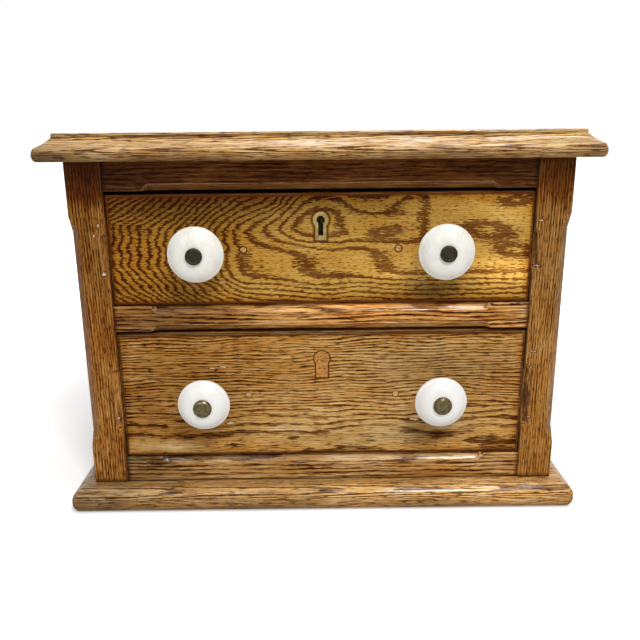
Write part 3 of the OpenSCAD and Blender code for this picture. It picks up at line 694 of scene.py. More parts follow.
@dataclass(frozen=True)
class FiguredFinish(FrontFinish):
    """Flat-sawn front: arches that open to the right on the left half, islands on the right half."""

    step_mm: float = 6.6
    turn_mm: float = -64.0
    curl_mm: Triple = (16.0, 0.0, 7.0)
    soft_mm: Triple = (8.0, 4.0, 5.0)
    slant: float = 0.22
    phase: float = 0.15
    high: Sweep = Sweep(0.0, ((-74, -8, -4.0), (2, 30, 1.0), (66, 92, 1.0)))
    low: Sweep = Sweep(0.0, ((-44, 14, -1.0), (12, 70, -1.0)))
    fold_z: Sweep = Sweep(4.0, ((-70, -20, 1.0), (10, 60, -1.0)))
    fold_half: Sweep = Sweep(11.0, ((0, 40, -5.0),))
    over_z: Sweep = Sweep(16.0, ((-110, -60, 2.0), (-40, 0, 9.0), (45, 80, 14.0)))
    over_slope: Sweep = Sweep(0.22, ((-40, 0, -0.1),))
    under_z: Sweep = Sweep(-19.0, ((-110, -60, -4.0), (0, 50, 3.0)))
    under_slope: Sweep = Sweep(0.2, ((-110, -60, 0.08),))
    lenses: tuple[Lens, ...] = ()

    def rings(self, coat: Coating, board: Board) -> Signal:
        """Wire the ring count of the figure.

        Args:
            coat: The material's wiring.
            board: The board's own cut; not used.

        Returns:
            The ring count.
        """
        x, y, z = coat.bent(Mottle.CURL, self.curl_mm)
        arch_soft, over_soft, under_soft = self.soft_mm
        low = self.low.draw(coat, x)
        fold = (z - self.fold_z.draw(coat, x)) / self.fold_half.draw(coat, x)
        count = coat.ramp(self.turn_mm - x, arch_soft) / self.step_mm + low
        count += coat.ease(fold, -1.0, 1.0) * (self.high.draw(coat, x) - low)
        count += coat.ramp(z - self.over_z.draw(coat, x), over_soft) * self.over_slope.draw(coat, x)
        count += coat.ramp(self.under_z.draw(coat, x) - z, under_soft) * self.under_slope.draw(coat, x)
        count += y * self.slant + self.phase
        return sum((lens.draw(coat) for lens in self.lenses), count)


@dataclass(frozen=True)
class GlazeFinish:
    """White glazed porcelain with faint crazing."""

    name: str
    white: Colour
    shade: Colour
    crack: Colour
    crazing: float
    cloud_mm: float = 9.0
    jitter_mm: float = 3.0
    cell_scale: float = 0.28
    craze_width: float = 0.06
    craze_band: Point2 = (0.4, 0.6)
    shade_band: Point2 = (0.35, 0.75)
    rough: tuple[float, float, float, float] = (0.3, 0.8, 0.34, 0.46)
    coat: Point2 = (0.06, 0.12)
    relief: Point2 = (0.15 * MM, 0.25)

    def dress(self, centre: Vector) -> bpy.types.Material:
        """Make the material of one knob.

        Args:
            centre: Middle of the knob.

        Returns:
            The material.
        """
        coat = Coating(self.name, centre)
        cloud = coat.speckle((self.cloud_mm,) * 3, 3.0, 3.0)
        jitter = coat.speckle((self.jitter_mm,) * 3, 5.0, 2.0, output=1)
        cells = coat.get("ShaderNodeTexVoronoi", {
            "Vector": coat.vector("ADD", coat.place, jitter), "Scale": self.cell_scale,
        }, "Distance", feature="DISTANCE_TO_EDGE")
        line = coat.ease(cells, 0.0, self.craze_width, self.crazing, 0.0) * coat.ease(cloud, *self.craze_band)
        colour = coat.blend(coat.ease(cloud, *self.shade_band), self.white, self.shade)
        coat.paint({
            "Base Color": coat.blend(line, colour, self.crack), "Roughness": coat.ease(cloud, *self.rough),
            "Coat Weight": self.coat[0], "Coat Roughness": self.coat[1],
        })
        coat.relief(cloud, *self.relief)
        return coat.material


@dataclass(frozen=True)
class MetalFinish:
    """Aged metal with patina and fine scratches."""

    name: str
    bright: Colour
    dull: Colour
    gloss: float
    grain_mm: float = 1.4
    metal: float = 1.0
    shares: Point2 = (0.7, 0.3)
    tone_band: Point2 = (0.38, 0.64)
    rough_band: Point2 = (0.35, 0.7)
    rough_span: Point2 = (-0.1, 0.14)
    relief: Point2 = (0.12 * MM, 0.35)

    def dress(self, centre: Vector = ORIGIN) -> bpy.types.Material:
        """Make the material of one fitting.

        Args:
            centre: Middle of the fitting.

        Returns:
            The material.
        """
        coat = Coating(self.name, centre)
        patina = coat.speckle((self.grain_mm * 2,) * 3, 2.0, 4.0, 0.65)
        fine = coat.speckle((self.grain_mm * 0.5,) * 3, 4.0, 2.0)
        mixed = patina * self.shares[0] + fine * self.shares[1]
        rough = (self.gloss + change for change in self.rough_span)
        coat.paint({
            "Base Color": coat.blend(coat.ease(mixed, *self.tone_band), self.bright, self.dull),
            "Roughness": coat.ease(mixed, *self.rough_band, *rough), "Metallic": self.metal,
        })
        coat.relief(mixed, *self.relief)
        return coat.material


POST_OAK = WoodFinish(
    "post_oak", (0.44, 0.204, 0.044), (0.15, 0.048, 0.006), (0.06, 0.014, 0.001), (0.5, 0.31, 0.14),
    ring_mm=1.3, line=(0.2, 0.8), faint=0.4, contrast=0.72, pore_level=0.75, bend_mm=2.0, dash_mm=6.0,
    coat=0.3, wear=0.25, streak=0.85)
RAIL_OAK = WoodFinish(
    "rail_oak", (0.62, 0.312, 0.09), (0.17, 0.053, 0.008), (0.05, 0.011, 0.001), (0.66, 0.45, 0.22),
    ring_mm=2.0, line=(0.3, 0.75), contrast=0.95, pore_level=0.85, bend_mm=4.0, dash_mm=14.0, streak=1.05,
    cloud=0.6, coat=1.0)
LOW_RAIL_OAK = replace(RAIL_OAK, name="low_rail_oak", pale=(0.53, 0.3, 0.1), deep=(0.15, 0.052, 0.009))
# The top rail's oak, made very dark as painted shade of the top's overhang, partly grime.
SHADED_TOP_RAIL_OAK = WoodFinish(
    "shaded_top_rail_oak", (0.122, 0.036, 0.0045), (0.046, 0.01, 0.0012), (0.022, 0.0045, 0.0006), (0.3, 0.17, 0.075),
    ring_mm=1.8, line=(0.3, 0.75), bend_mm=3.0, coat=0.4, streak=0.65)
BASE_OAK = WoodFinish(
    "base_oak", (0.63, 0.385, 0.138), (0.2, 0.076, 0.013), (0.065, 0.017, 0.002), (0.72, 0.5, 0.24),
    ring_mm=0.85, line=(0.35, 0.72), faint=0.7, contrast=1.0, fray=0.4, bend_mm=1.2, pore_level=0.92,
    dash_mm=9.0, coat=0.9, gloss=0.36, streak=1.2, cloud=0.25)
TOP_OAK = replace(BASE_OAK, name="top_oak", ring_mm=0.55, bend_mm=0.6)
LINING_WOOD = WoodFinish(
    "lining_wood", (0.58, 0.4, 0.215), (0.43, 0.265, 0.125), (0.25, 0.135, 0.058), (0.62, 0.47, 0.29),
    ring_mm=4.0, contrast=0.6, pore_level=0.4, gloss=0.62, streak=0.4, cloud=0.2)
BACK_WOOD = WoodFinish(
    "back_wood", (0.31, 0.185, 0.092), (0.2, 0.108, 0.05), (0.085, 0.044, 0.02), (0.42, 0.29, 0.17),
    ring_mm=5.0, contrast=0.7, pore_level=0.5, gloss=0.68, streak=0.4, cloud=0.3)
PATCH_WOOD = WoodFinish(
    "patch_wood", (0.52, 0.24, 0.062), (0.36, 0.135, 0.026), (0.13, 0.04, 0.007), (0.62, 0.4, 0.2),
    ring_mm=5.0, contrast=0.5, bend_mm=6.0, dash_mm=1.4, streak=0.6)
UPPER_OAK = FiguredFinish(
    "upper_front_oak", (0.49, 0.262, 0.046), (0.2, 0.057, 0.006), (0.08, 0.018, 0.0015), (0.52, 0.31, 0.13),
    line=(0.44, 0.76), faint=0.7, contrast=0.66, pore_pull=0.26, dash_mm=4.0, fray=1.0, shine=0.05,
    # Painted shade darker on the left, a painted shadow of the top's overhang along the top, and painted glare and
    # light on the right.
    painted_shade_and_light=(Lens(-150, 5, 75, 70, 0, -0.45), Lens(-20, 42, 190, 10, 0, -0.3), Lens(146, -18, 30, 12, 0, 0.2),
            Lens(-14, -20, 14, 8, 0, 0.15), Lens(100, 10, 60, 40, 0, 0.08)),
    # Painted shadow of the top's overhang along the top, partly grime; painted glare low on the right; painted
    # shadows below both knobs.
    painted_light_and_stains=(Lens(-100, 36, 130, 20, 0, -0.62), Lens(30, 38, 60, 10, 0, -0.35), Lens(146, -18, 30, 12, 0, 1.15),
           Lens(58, -18, 30, 9, 6, 0.35), Lens(140, 30, 24, 12, 0, 0.2), Lens(88, -33, 26, 10, 0, -0.55),
           Lens(-112, -33, 26, 9, 0, -0.25)),
    scars=(Lens(-76.5, -25, 4.6, 1.6, -8, 1.0), Lens(79, -24, 5.0, 1.4, -6, 1.0)),
    halos=(Lens(-59.5, 0.0, 3.7, 3.7, 0, 1.0), Lens(59.5, 0.0, 3.7, 3.7, 0, 1.0)),
    # Painted shadow and grime round the escutcheon.
    mark=KeyholeMark(22.4, 12.4, 8.7, 6.9, 2.6),
    lenses=(Lens(50, 13, 18, 5.5, -8, 0.66), Lens(127, 13.5, 25, 8.5, 6, 0.76), Lens(149, -2.5, 17, 6, 5, 0.74),
            Lens(148, 35, 18, 5, -4, 0.64), Lens(42, 29, 26, 4, 6, 0.5)),
)
LOWER_OAK = PlainFinish(
    "lower_front_oak", (0.58, 0.33, 0.1), (0.18, 0.056, 0.008), (0.06, 0.014, 0.001), (0.68, 0.49, 0.26),
    ring_mm=2.5, contrast=0.95, pore_level=0.85, dash_mm=9.0, bend_mm=4.0, streak=1.0, shine=0.05,
    # Painted shade darker on the left and below the middle rail, painted light in spots, a paler streak low on the
    # left, darker at the right end.
    painted_shade_and_light=(Lens(-135, -10, 75, 80, 0, -0.36), Lens(-60, 32, 80, 24, 0, -0.2), Lens(70, 32, 70, 18, -3, 0.06),
            Lens(-32, -32, 34, 9, 4, 0.15), Lens(50, -30, 26, 9, 0, 0.12), Lens(-130, -46, 36, 7, 3, 0.6),
            Lens(150, 0, 24, 60, 0, -0.15)),
    scars=(Lens(-75.5, -24, 4.4, 1.5, -8, 1.0), Lens(75, -22.5, 5.0, 1.5, 8, 1.0),
           Lens(-88, 23.4, 3.2, 0.9, 4, 1.0), Lens(-79, 24.6, 3.6, 0.9, 6, 1.0)),
    # Painted shade darker on the left and over the upper right, a painted shadow below the right knob, and darker low
    # in the middle.
    painted_light_and_stains=(Lens(-140, -14, 80, 70, 0, -0.26), Lens(100, 22, 80, 20, 0, -0.28), Lens(82, -34, 30, 11, 0, -0.4),
           Lens(20, -38, 40, 10, 0, -0.2)),
    halos=(Lens(-59.5, 0.0, 3.0, 3.0, 0, 1.0), Lens(59.5, 0.0, 3.0, 3.0, 0, 1.0),
           Lens(-24, -37.6, 6.0, 1.5, -6, 1.0)),
    mark=KeyholeMark(30.7, 12.4, 9.6, 14.7, 1.6),
)
UPPER_GLAZE = GlazeFinish("upper_porcelain", (0.81, 0.8, 0.735), (0.75, 0.73, 0.66), (0.5, 0.46, 0.38), 0.4)
LOWER_GLAZE = GlazeFinish("lower_porcelain", (0.825, 0.823, 0.783), (0.795, 0.785, 0.74), (0.62, 0.6, 0.54), 0.15)
DARK_BRONZE = MetalFinish("dark_bronze", (0.05, 0.041, 0.022), (0.016, 0.012, 0.006), 0.46, 1.0, 0.85)
AGED_BRASS = MetalFinish("aged_brass", (0.165, 0.131, 0.064), (0.06, 0.048, 0.022), 0.36, 1.1, 0.95)
BRASS = MetalFinish("brass", (0.46, 0.35, 0.127), (0.23, 0.16, 0.05), 0.44, 2.0, 0.9)
TARNISHED = MetalFinish("tarnished_brass", (0.1, 0.075, 0.034), (0.03, 0.022, 0.01), 0.5, 2.0)
STEEL = MetalFinish("steel", (0.26, 0.25, 0.235), (0.11, 0.085, 0.065), 0.5, 1.2, 0.9)


def link_object(name: str, data: bpy.types.ID) -> bpy.types.Object:
    """Put an object into the scene.

    Args:
        name: Name of the object.
        data: Its mesh, light or camera.

    Returns:
        The object.
    """
    thing = bpy.data.objects.new(name, data)
    bpy.context.scene.collection.objects.link(thing)
    return thing


def make_piece(shape: bmesh.types.BMesh, name: str, material: bpy.types.Material) -> bpy.types.Object:
    """Turn a shape into a piece with one material, and free the shape.

    Args:
        shape: The finished shape.
        name: Name of the piece.
        material: Its material.

    Returns:
        The piece.
    """
    mesh = bpy.data.meshes.new(name)
    shape.to_mesh(mesh)
    shape.free()
    mesh.materials.append(material)
    return link_object(name, mesh)


def plain_piece(piece: bpy.types.Object) -> None:
    """Turn a piece's modifiers into its plain mesh.

    Args:
        piece: The piece, whose modifiers are removed.
    """
    graph = bpy.context.evaluated_depsgraph_get()
    graph.update()
    mesh = bpy.data.meshes.new_from_object(piece.evaluated_get(graph), preserve_all_data_layers=True,
                                           depsgraph=graph)
    piece.modifiers.clear()
    piece.data = mesh
    mesh.name = piece.name


def clean_piece(piece: bpy.types.Object) -> None:
    """Merge the doubles of a piece and remove faces without an area.

    Args:
        piece: The piece.
    """
    shape = bmesh.new()
    shape.from_mesh(piece.data)
    bmesh.ops.remove_doubles(shape, verts=shape.verts, dist=MERGE)
    bmesh.ops.dissolve_degenerate(shape, edges=shape.edges, dist=MERGE)
    shape.to_mesh(piece.data)
    shape.free()


def settle(piece: bpy.types.Object, body: str, node: str, sharp: float = SMOOTH_DEG) -> None:
    """Shade a piece smoothly between its sharp edges, ride it on its body and hide the node that it replaces.

    Args:
        piece: The piece.
        body: Body that carries it.
        node: Node of the frame that it replaces.
        sharp: Edges sharper than this stay sharp, in degrees.
    """
    for face in piece.data.polygons:
        face.use_smooth = True
    piece.data.set_sharp_from_angle(angle=math.radians(sharp))
    even = piece.modifiers.new("even", "WEIGHTED_NORMAL")
    even.keep_sharp = True
    even.weight = 100
    plain_piece(piece)
    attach(piece, body)
    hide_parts(node)
    LOG.info("%s: %d faces on %s", piece.name, len(piece.data.polygons), body)


def merged_copy(node: str) -> bmesh.types.BMesh:
    """Copy a node's mesh with its loose triangles joined.

    Args:
        node: Name of the node.

    Returns:
        The joined copy.
    """
    copy = bmesh.new()
    copy.from_mesh(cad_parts[node].data)
    bmesh.ops.remove_doubles(copy, verts=copy.verts, dist=MERGE)
    return copy


def box_of(points: Sequence[Vector]) -> tuple[Vector, Vector]:
    """Find the lowest and the highest corner of some points."""
    low, high = ([pick(p[i] for p in points) for i in range(3)] for pick in (min, max))
    return Vector(low), Vector(high)


def solids_of(node: str) -> list[tuple[Vector, Vector]]:
    """Find the separate solids of a node.

    Args:
        node: Name of the node.

    Returns:
        Lowest and highest corner of each solid, from left to right, front to back and up.
    """
    copy = merged_copy(node)
    seen: set[int] = set()
    boxes = []
    for start in copy.verts:
        if start.index in seen:
            continue
        seen.add(start.index)
        queue, points = [start], []
        while queue:
            vert = queue.pop()
            points.append(vert.co)
            for edge in vert.link_edges:
                other = edge.other_vert(vert)
                if other.index not in seen:
                    seen.add(other.index)
                    queue.append(other)
        boxes.append(box_of(points))
    copy.free()
    return sorted(boxes, key=lambda box: tuple(round(v, 5) for v in box[0]))


def middle_of(low: Vector, high: Vector) -> Vector:
    """Find the middle of a box."""
    return (low + high) / 2


@dataclass(frozen=True)
class Arris:
    """How the outer edges of a wooden piece are rounded and worn."""

    width: float = 0.0007
    wander: float = 0.0003
    step: float = 0.006
    least_deg: float = 20.0
    merge_deg: float = 0.3
    grain: float = 90.0
    coarse: float = 31.0

    def picks(self, edge: bmesh.types.BMEdge, low: Vector, high: Vector) -> bool:
        """Tell whether an edge is an outer arris of its board.

        Args:
            edge: The edge.
            low: Lowest corner of the board.
            high: Highest corner of the board.

        Returns:
            True where both faces are outer faces or chamfers.
        """
        if len(edge.link_faces) != 2 or edge.calc_length() < 3 * self.width:
            return False
        if edge.calc_face_angle_signed(0.0) < math.radians(self.least_deg):
            return False
        outer = 0
        for face in edge.link_faces:
            axis = max(range(3), key=lambda i: abs(face.normal[i]))
            if abs(face.normal[axis]) < FLAT:
                continue
            level = face.verts[0].co[axis]
            if min(abs(level - low[axis]), abs(level - high[axis])) > LEVEL:
                return False
            outer += 1
        return outer > 0

    def work(self, shape: bmesh.types.BMesh, axis: int, seed: float,
             picks: Callable[[bmesh.types.BMEdge], bool] | None = None) -> None:
        """Round the outer edges of a board and wear them unevenly.

        Args:
            shape: The board's mesh, which is changed.
            axis: Axis along which the board is long.
            seed: Number that sets this board's wear apart.
            picks: Test of an edge, where the outer arrises aren't meant.
        """
        bmesh.ops.dissolve_limit(shape, angle_limit=math.radians(self.merge_deg), verts=shape.verts,
                                 edges=shape.edges)
        low, high = box_of([vert.co for vert in shape.verts])
        edges = [e for e in shape.edges if (picks(e) if picks else self.picks(e, low, high))]
        mark = shape.faces.layers.int.new("eased")
        made = bmesh.ops.bevel(shape, geom=edges, offset=self.width, offset_type="OFFSET", segments=2,
                               profile=0.5, affect="EDGES", clamp_overlap=True, loop_slide=True)
        for face in made["faces"]:
            face[mark] = 1
        normal = Vector([float(i == axis) for i in range(3)])
        for index in range(1, int((high[axis] - low[axis]) / self.step)):
            geom = shape.verts[:] + shape.edges[:] + shape.faces[:]
            bmesh.ops.bisect_plane(shape, geom=geom, dist=1e-6, plane_co=low + normal * (index * self.step),
                                   plane_no=normal)
        worn = shape.verts.layers.float.new("worn")
        polish = shape.verts.layers.float.new("polish")
        shape.normal_update()
        for vert in shape.verts:
            if all(max(abs(v) for v in face.normal) < FLAT for face in vert.link_faces):
                vert[polish] = 1.0
            if vert.link_faces and all(face[mark] for face in vert.link_faces):
                vert[worn] = 1.0
                spot = vert.co * self.grain + Vector((seed, 2 * seed, 0))
                dent = max(0.0, noise.noise(vert.co * self.coarse + spot * 0.1) - 0.3)
                vert.co -= vert.normal * (self.wander * (0.5 + 0.5 * noise.noise(spot) + dent))


@dataclass
class Timber:
    """One board of the cabinet: a copy of its node with eased arrises and its own grain."""

    board: Board
    body: str
    slot: str
    finish: WoodFinish
    arris: Arris = Arris()

    def build(self) -> None:
        """Make the piece, dress it and settle it."""
        node = self.board.node
        shape = merged_copy(node)
        self.arris.work(shape, self.board.grain.axis, self.board.seed)
        settle(make_piece(shape, f"{node}_board", self.finish.dress(self.board)), self.body, node)


def curve_points(first: Point2, pull: Point2, last: Point2, count: int) -> list[Point2]:
    """Points of a curve from the first point to the last one, in a count of steps, with one control point."""
    return [tuple((1 - t) ** 2 * a + 2 * t * (1 - t) * b + t * t * c for a, b, c in zip(first, pull, last))
            for t in (index / count for index in range(count + 1))]


def arc_points(centre: Point2, radius: float, start: float, end: float, count: int) -> list[Point2]:
    """Points of an arc round a centre, between two angles in degrees, in a count of steps."""
    angles = [math.radians(start + (end - start) * i / count) for i in range(count + 1)]
    return [(centre[0] + radius * math.cos(a), centre[1] + radius * math.sin(a)) for a in angles]


@dataclass
class MouldedBoard:
    """Board with a moulding round its front and sides."""

    board: Board
    finish: WoodFinish
    corner: float
    step: float = 0.004
    wander: float = 0.0003
    least_bend: float = 0.0008
    sharp_deg: float = 40.0
    dent_scale: float = 23.0
    dent_from: float = 0.25
    bite_scale: float = 60.0
    shade_and_soil_scale: float = 14.0
    shade_and_soil_level: Point2 = (0.75, 1.2)
    shine: float = 1.4

    def profile(self, low: float, high: float) -> Section:
        """Section of the edge from the upper face to the lower one: inset, height, wear, and painted shade with
        grime, of each point.
        """
        raise NotImplementedError

    def path(self, inset: float, low: Vector, high: Vector) -> list[Point2]:
        """Way round the left, front and right of the board.

        Args:
            inset: Distance in from the outline.
            low: Lowest corner of the board.
            high: Highest corner of the board.

        Returns:
            The points, from the back left to the back right.
        """
        bend = max(self.corner - inset, self.least_bend)
        left, right, front, back = low.x + inset, high.x - inset, low.y + inset, high.y
        sides = int((high.y - low.y) / self.step)
        run = int((high.x - low.x) / self.step)
        points = [(left, back + (front + bend - back) * i / sides) for i in range(sides)]
        points += arc_points((left + bend, front + bend), bend, 180, 270, 6)
        points += [(left + bend + (right - left - 2 * bend) * i / run, front) for i in range(1, run)]
        points += arc_points((right - bend, front + bend), bend, 270, 360, 6)
        points += [(right, front + bend + (back - front - bend) * i / sides) for i in range(1, sides + 1)]
        return points

    def build(self) -> None:
        """Sweep the section, wear it, dress the board and settle it."""
        node = self.board.node
        low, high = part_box(node)
        shape = bmesh.new()
        worn, shade_and_soiling, polish = (shape.verts.layers.float.new(name) for name in ("worn", "shade_and_soiling", "polish"))
        rings = []
        for inset, height, wear, shade_and_soil in self.profile(low.z, high.z):
            ring = []
            for x, y in self.path(inset, low, high):
                spot = Vector((x, y, height))
                dent = max(0.0, noise.noise(spot * self.dent_scale) - self.dent_from)
                bite = self.wander * wear * (0.5 + 0.5 * noise.noise(spot * self.bite_scale) + dent)
                inward = Vector((-x, -y, 0.0)).normalized() if y < high.y - MM else Vector()
                vert = shape.verts.new(spot + inward * bite)
                vert[worn] = wear
                vert[polish] = min(1.0, self.shine * wear)
                # Painted shade, broken by noise like grime.
                level = self.shade_and_soil_level[0] + self.shade_and_soil_level[1] * noise.noise(spot * self.shade_and_soil_scale)
                vert[shade_and_soiling] = shade_and_soil * max(0.0, min(1.0, level))
                ring.append(vert)
            rings.append(ring)
        for upper, lower in zip(rings, rings[1:]):
            for i in range(len(upper) - 1):
                shape.faces.new((upper[i], lower[i], lower[i + 1], upper[i + 1]))
        shape.faces.new(rings[0])
        shape.faces.new(rings[-1][::-1])
        shape.faces.new([ring[0] for ring in rings][::-1] + [ring[-1] for ring in rings])
        bmesh.ops.recalc_face_normals(shape, faces=shape.faces)
        piece = make_piece(shape, f"{node}_moulding", self.finish.dress(self.board))
        settle(piece, "carcase", node, self.sharp_deg)


@dataclass
class TopBoard(MouldedBoard):
    """Top with a raised field, a hollow slope and a rounded nose."""

    field_in: float = 0.0118
    field_step: float = 0.003
    nose_height: float = 0.0095
    nose_bulge: float = 0.0018
    hollow: float = 0.0006
    ease: float = 0.0009
    under: Point2 = (0.0008, 0.0006)

    def profile(self, low: float, high: float) -> Section:
        """Section of the top's edge, from the field down to the underside.

        Args:
            low: Height of the lower face.
            high: Height of the upper face.

        Returns:
            Distance in from the outline, height, wear, and painted shade with grime, of each point.
        """
        points = [(self.field_in + 3 * self.ease, high, 0.0, 0.0)]
        points += [(self.field_in + self.ease - a, high - self.ease + b, 0.8, 0.0)
                   for a, b in arc_points((0, 0), self.ease, 90, 0, 3)]
        foot = (self.field_in, high - self.field_step)
        nose = (self.nose_bulge, low + self.nose_height)
        pull = ((foot[0] + nose[0]) / 2 + 1.2 * self.hollow, (foot[1] + nose[1]) / 2 - 1.6 * self.hollow)
        # Painted shadow at the foot of the field's step.
        points.append((foot[0], foot[1] + 0.3 * self.field_step, 0.0, 1.0))
        slope = curve_points(foot, pull, nose, 8)
        points += [(*point, 0.0, shade_and_soil) for point, shade_and_soil in zip(slope, (1.0, 0.5))]
        points += [(*point, 0.7, 0.0) for point in slope[2:]]
        radius = (self.nose_height ** 2 / 4 + self.nose_bulge ** 2) / (2 * self.nose_bulge)
        reach = math.degrees(math.asin(self.nose_height / 2 / radius))
        arc = arc_points((-radius, low + self.nose_height / 2), radius, reach, -reach, 6)
        # Painted shade on the nose, deeper towards the underside.
        points += [(-a, b, 0.1, 0.46 + 0.08 * i) for i, (a, b) in enumerate(arc[1:-1])]
        return points + [(self.nose_bulge, low + self.under[1], 0.1, 0.5),
                         (self.nose_bulge + self.under[0], low, 0.0, 0.6)]


@dataclass
class BaseBoard(MouldedBoard):
    """Base with a rounded edge above and below."""

    round_above: float = 0.0105
    round_below: float = 0.0085
    flat: float = 0.002

    def profile(self, low: float, high: float) -> Section:
        """Section of the base's edge, from the upper face down to the underside.

        Args:
            low: Height of the lower face.
            high: Height of the upper face.

        Returns:
            Distance in from the outline, height, wear, and painted shade with grime, of each point.
        """
        above = arc_points((-self.round_above, high - self.round_above), self.round_above, 90, 0, 10)
        below = arc_points((-self.round_below, low + self.round_below), self.round_below, 0, -90, 8)
        points = [(self.round_above + self.flat, high, 0.5, 0.0)]
        points += [(-a, b, 0.75 if i < 6 else 0.3, 0.03 * i) for i, (a, b) in enumerate(above)]
        # Painted shade on the lower round, deeper downwards.
        points += [(-a, b, 0.1, 0.4 + 0.06 * i) for i, (a, b) in enumerate(below[:-1])]
        return points + [(self.round_below, low, 0.0, 0.8)]


class FastenerTree(Wiring):
    """Geometry Nodes tree that sets one fastener on each point of a mesh."""

    def __init__(self, name: str, sizes: Sequence[str]) -> None:
        """Make the tree with one named input for each size.

        Args:
            name: Name of the tree.
            sizes: Names of the size inputs.
        """
        super().__init__(bpy.data.node_groups.new(name, "GeometryNodeTree"))
        kinds = {"Points": "Geometry", **dict.fromkeys(sizes, "Float"),
                 "Way": "Vector", "Seed": "Int", "Material": "Material"}
        face = self.tree.interface
        self.sockets = {key: face.new_socket(key, in_out="INPUT", socket_type=f"NodeSocket{kind}").identifier
                        for key, kind in kinds.items()}
        face.new_socket("Fasteners", in_out="OUTPUT", socket_type="NodeSocketGeometry")
        outputs = self.add("NodeGroupInput").outputs
        self.given = {key: Signal(self, outputs[key]) for key in kinds}
        self.sizes = [self.given[size] for size in sizes]

    def rod(self, diameter: Signal, length: Signal, start: Value = 0.0, sides: int = 20) -> Signal:
        """Add an upright rod that starts at a height."""
        rod = {"Vertices": sides, "Radius": diameter * 0.5, "Depth": length}
        return self.lift(self.get("GeometryNodeMeshCylinder", rod, "Mesh"), length * 0.5 + start)

    def cone(self, lower: Signal, upper: Signal, length: Signal, start: Value = 0.0, sides: int = 20) -> Signal:
        """Add an upright cone with a lower and an upper diameter that starts at a height."""
        cone = {"Vertices": sides, "Radius Bottom": lower * 0.5, "Radius Top": upper * 0.5, "Depth": length}
        return self.lift(self.get("GeometryNodeMeshCone", cone, "Mesh"), start)

    def lift(self, mesh: Signal, height: Value) -> Signal:
        """Move a mesh up."""
        place = self.get("ShaderNodeCombineXYZ", {"Z": height})
        return self.get("GeometryNodeTransform", {"Geometry": mesh, "Translation": place})

    def bar(self, across: Signal, wide: Signal, high: Signal) -> Signal:
        """Add a block round the origin."""
        size = self.get("ShaderNodeCombineXYZ", {"X": across, "Y": wide, "Z": high})
        return self.get("GeometryNodeMeshCube", {"Size": size}, "Mesh")

    def join(self, operation: str, first: Signal, second: Signal) -> Signal:
        """Join two meshes into one closed shell, or cut one by the other.

        Args:
            operation: UNION, DIFFERENCE or INTERSECT.
            first: First mesh.
            second: Second mesh.

        Returns:
            The result.
        """
        socket = "Mesh 1" if operation == "DIFFERENCE" else "Mesh 2"
        node = self.add("GeometryNodeMeshBoolean", {socket: first}, operation=operation, solver="EXACT")
        self.feed(node.inputs["Mesh 2"], second)
        return Signal(self, node.outputs["Mesh"])

    def close(self, shape: Signal) -> "FastenerTree":
        """Set the shape on the points, each turned by its own amount, and end the tree.

        Args:
            shape: Mesh of one fastener.

        Returns:
            The tree.
        """
        given = self.given
        way = self.get("FunctionNodeEulerToRotation", {"Euler": given["Way"]})
        placed = self.get("GeometryNodeInstanceOnPoints",
                          {"Points": given["Points"], "Instance": shape, "Rotation": way})
        chance = self.get("FunctionNodeRandomValue", {"Seed": given["Seed"]}, 1, data_type="FLOAT")
        turn = self.get("ShaderNodeCombineXYZ", {"Z": chance * math.pi})
        turned = self.get("GeometryNodeRotateInstances", {"Instances": placed, "Rotation": turn})
        real = self.get("GeometryNodeRealizeInstances", {"Geometry": turned})
        coated = self.get("GeometryNodeSetMaterial", {"Geometry": real, "Material": given["Material"]})
        self.add("NodeGroupOutput", {0: coated})
        return self


def screw_tree() -> FastenerTree:
    """Make the tree of slotted countersunk screws.

    Returns:
        The tree.
    """
    tree = FastenerTree("slotted_screws", ("Head", "Head height", "Shank", "Length", "Slot"))
    head, height, shank, length, slot = tree.sizes
    sunk = height * 0.6
    pin = tree.rod(shank, length - sunk, sunk)
    whole = tree.join("UNION", tree.cone(head, shank * 0.8, height), pin)
    return tree.close(tree.join("DIFFERENCE", whole, tree.bar(head * 1.2, slot, height * 0.9)))


def nail_tree() -> FastenerTree:
    """Make the tree of wire nails with flat heads.

    Returns:
        The tree.
    """
    tree = FastenerTree("wire_nails", ("Head", "Head height", "Shank", "Length"))
    head, height, shank, length = tree.sizes
    crown = tree.cone(head * 0.8, head, height * 0.35)
    cap = tree.rod(head, height * 0.65, height * 0.35)
    pin = tree.rod(shank, length * 0.9, height * 0.5, 12)
    return tree.close(tree.join("UNION", tree.join("UNION", crown, cap), pin))


def nut_tree() -> FastenerTree:
    """Make the tree of square nuts on washers, with chamfered corners.

    Returns:
        The tree.
    """
    tree = FastenerTree("square_nuts", ("Washer", "Washer height", "Nut", "Nut height", "Bore"))
    washer, thin, nut, high, bore = tree.sizes
    sunk = thin * 0.5
    tall = high + sunk
    block = tree.lift(tree.bar(nut, nut, tall), tall * 0.5 + sunk)
    taper = tree.cone(nut * 1.75, nut * 1.1, tall * 1.3, sunk * 0.5, 32)
    whole = tree.join("UNION", tree.rod(washer, thin, 0.0, 32), tree.join("INTERSECT", block, taper))
    hole = tree.lift(tree.rod(bore, thin * 4 + high), thin * -1)
    return tree.close(tree.join("DIFFERENCE", whole, hole))


def plug_tree() -> FastenerTree:
    """Make the tree of round wooden plugs with an eased end.

    Returns:
        The tree.
    """
    tree = FastenerTree("hole_plugs", ("Plug", "Length", "Ease"))
    plug, length, ease = tree.sizes
    taper = tree.cone(plug - ease * 4, length * 2 + plug, ease * 2 + length, ease * -1, 28)
    return tree.close(tree.join("INTERSECT", tree.rod(plug, length, 0.0, 28), taper))


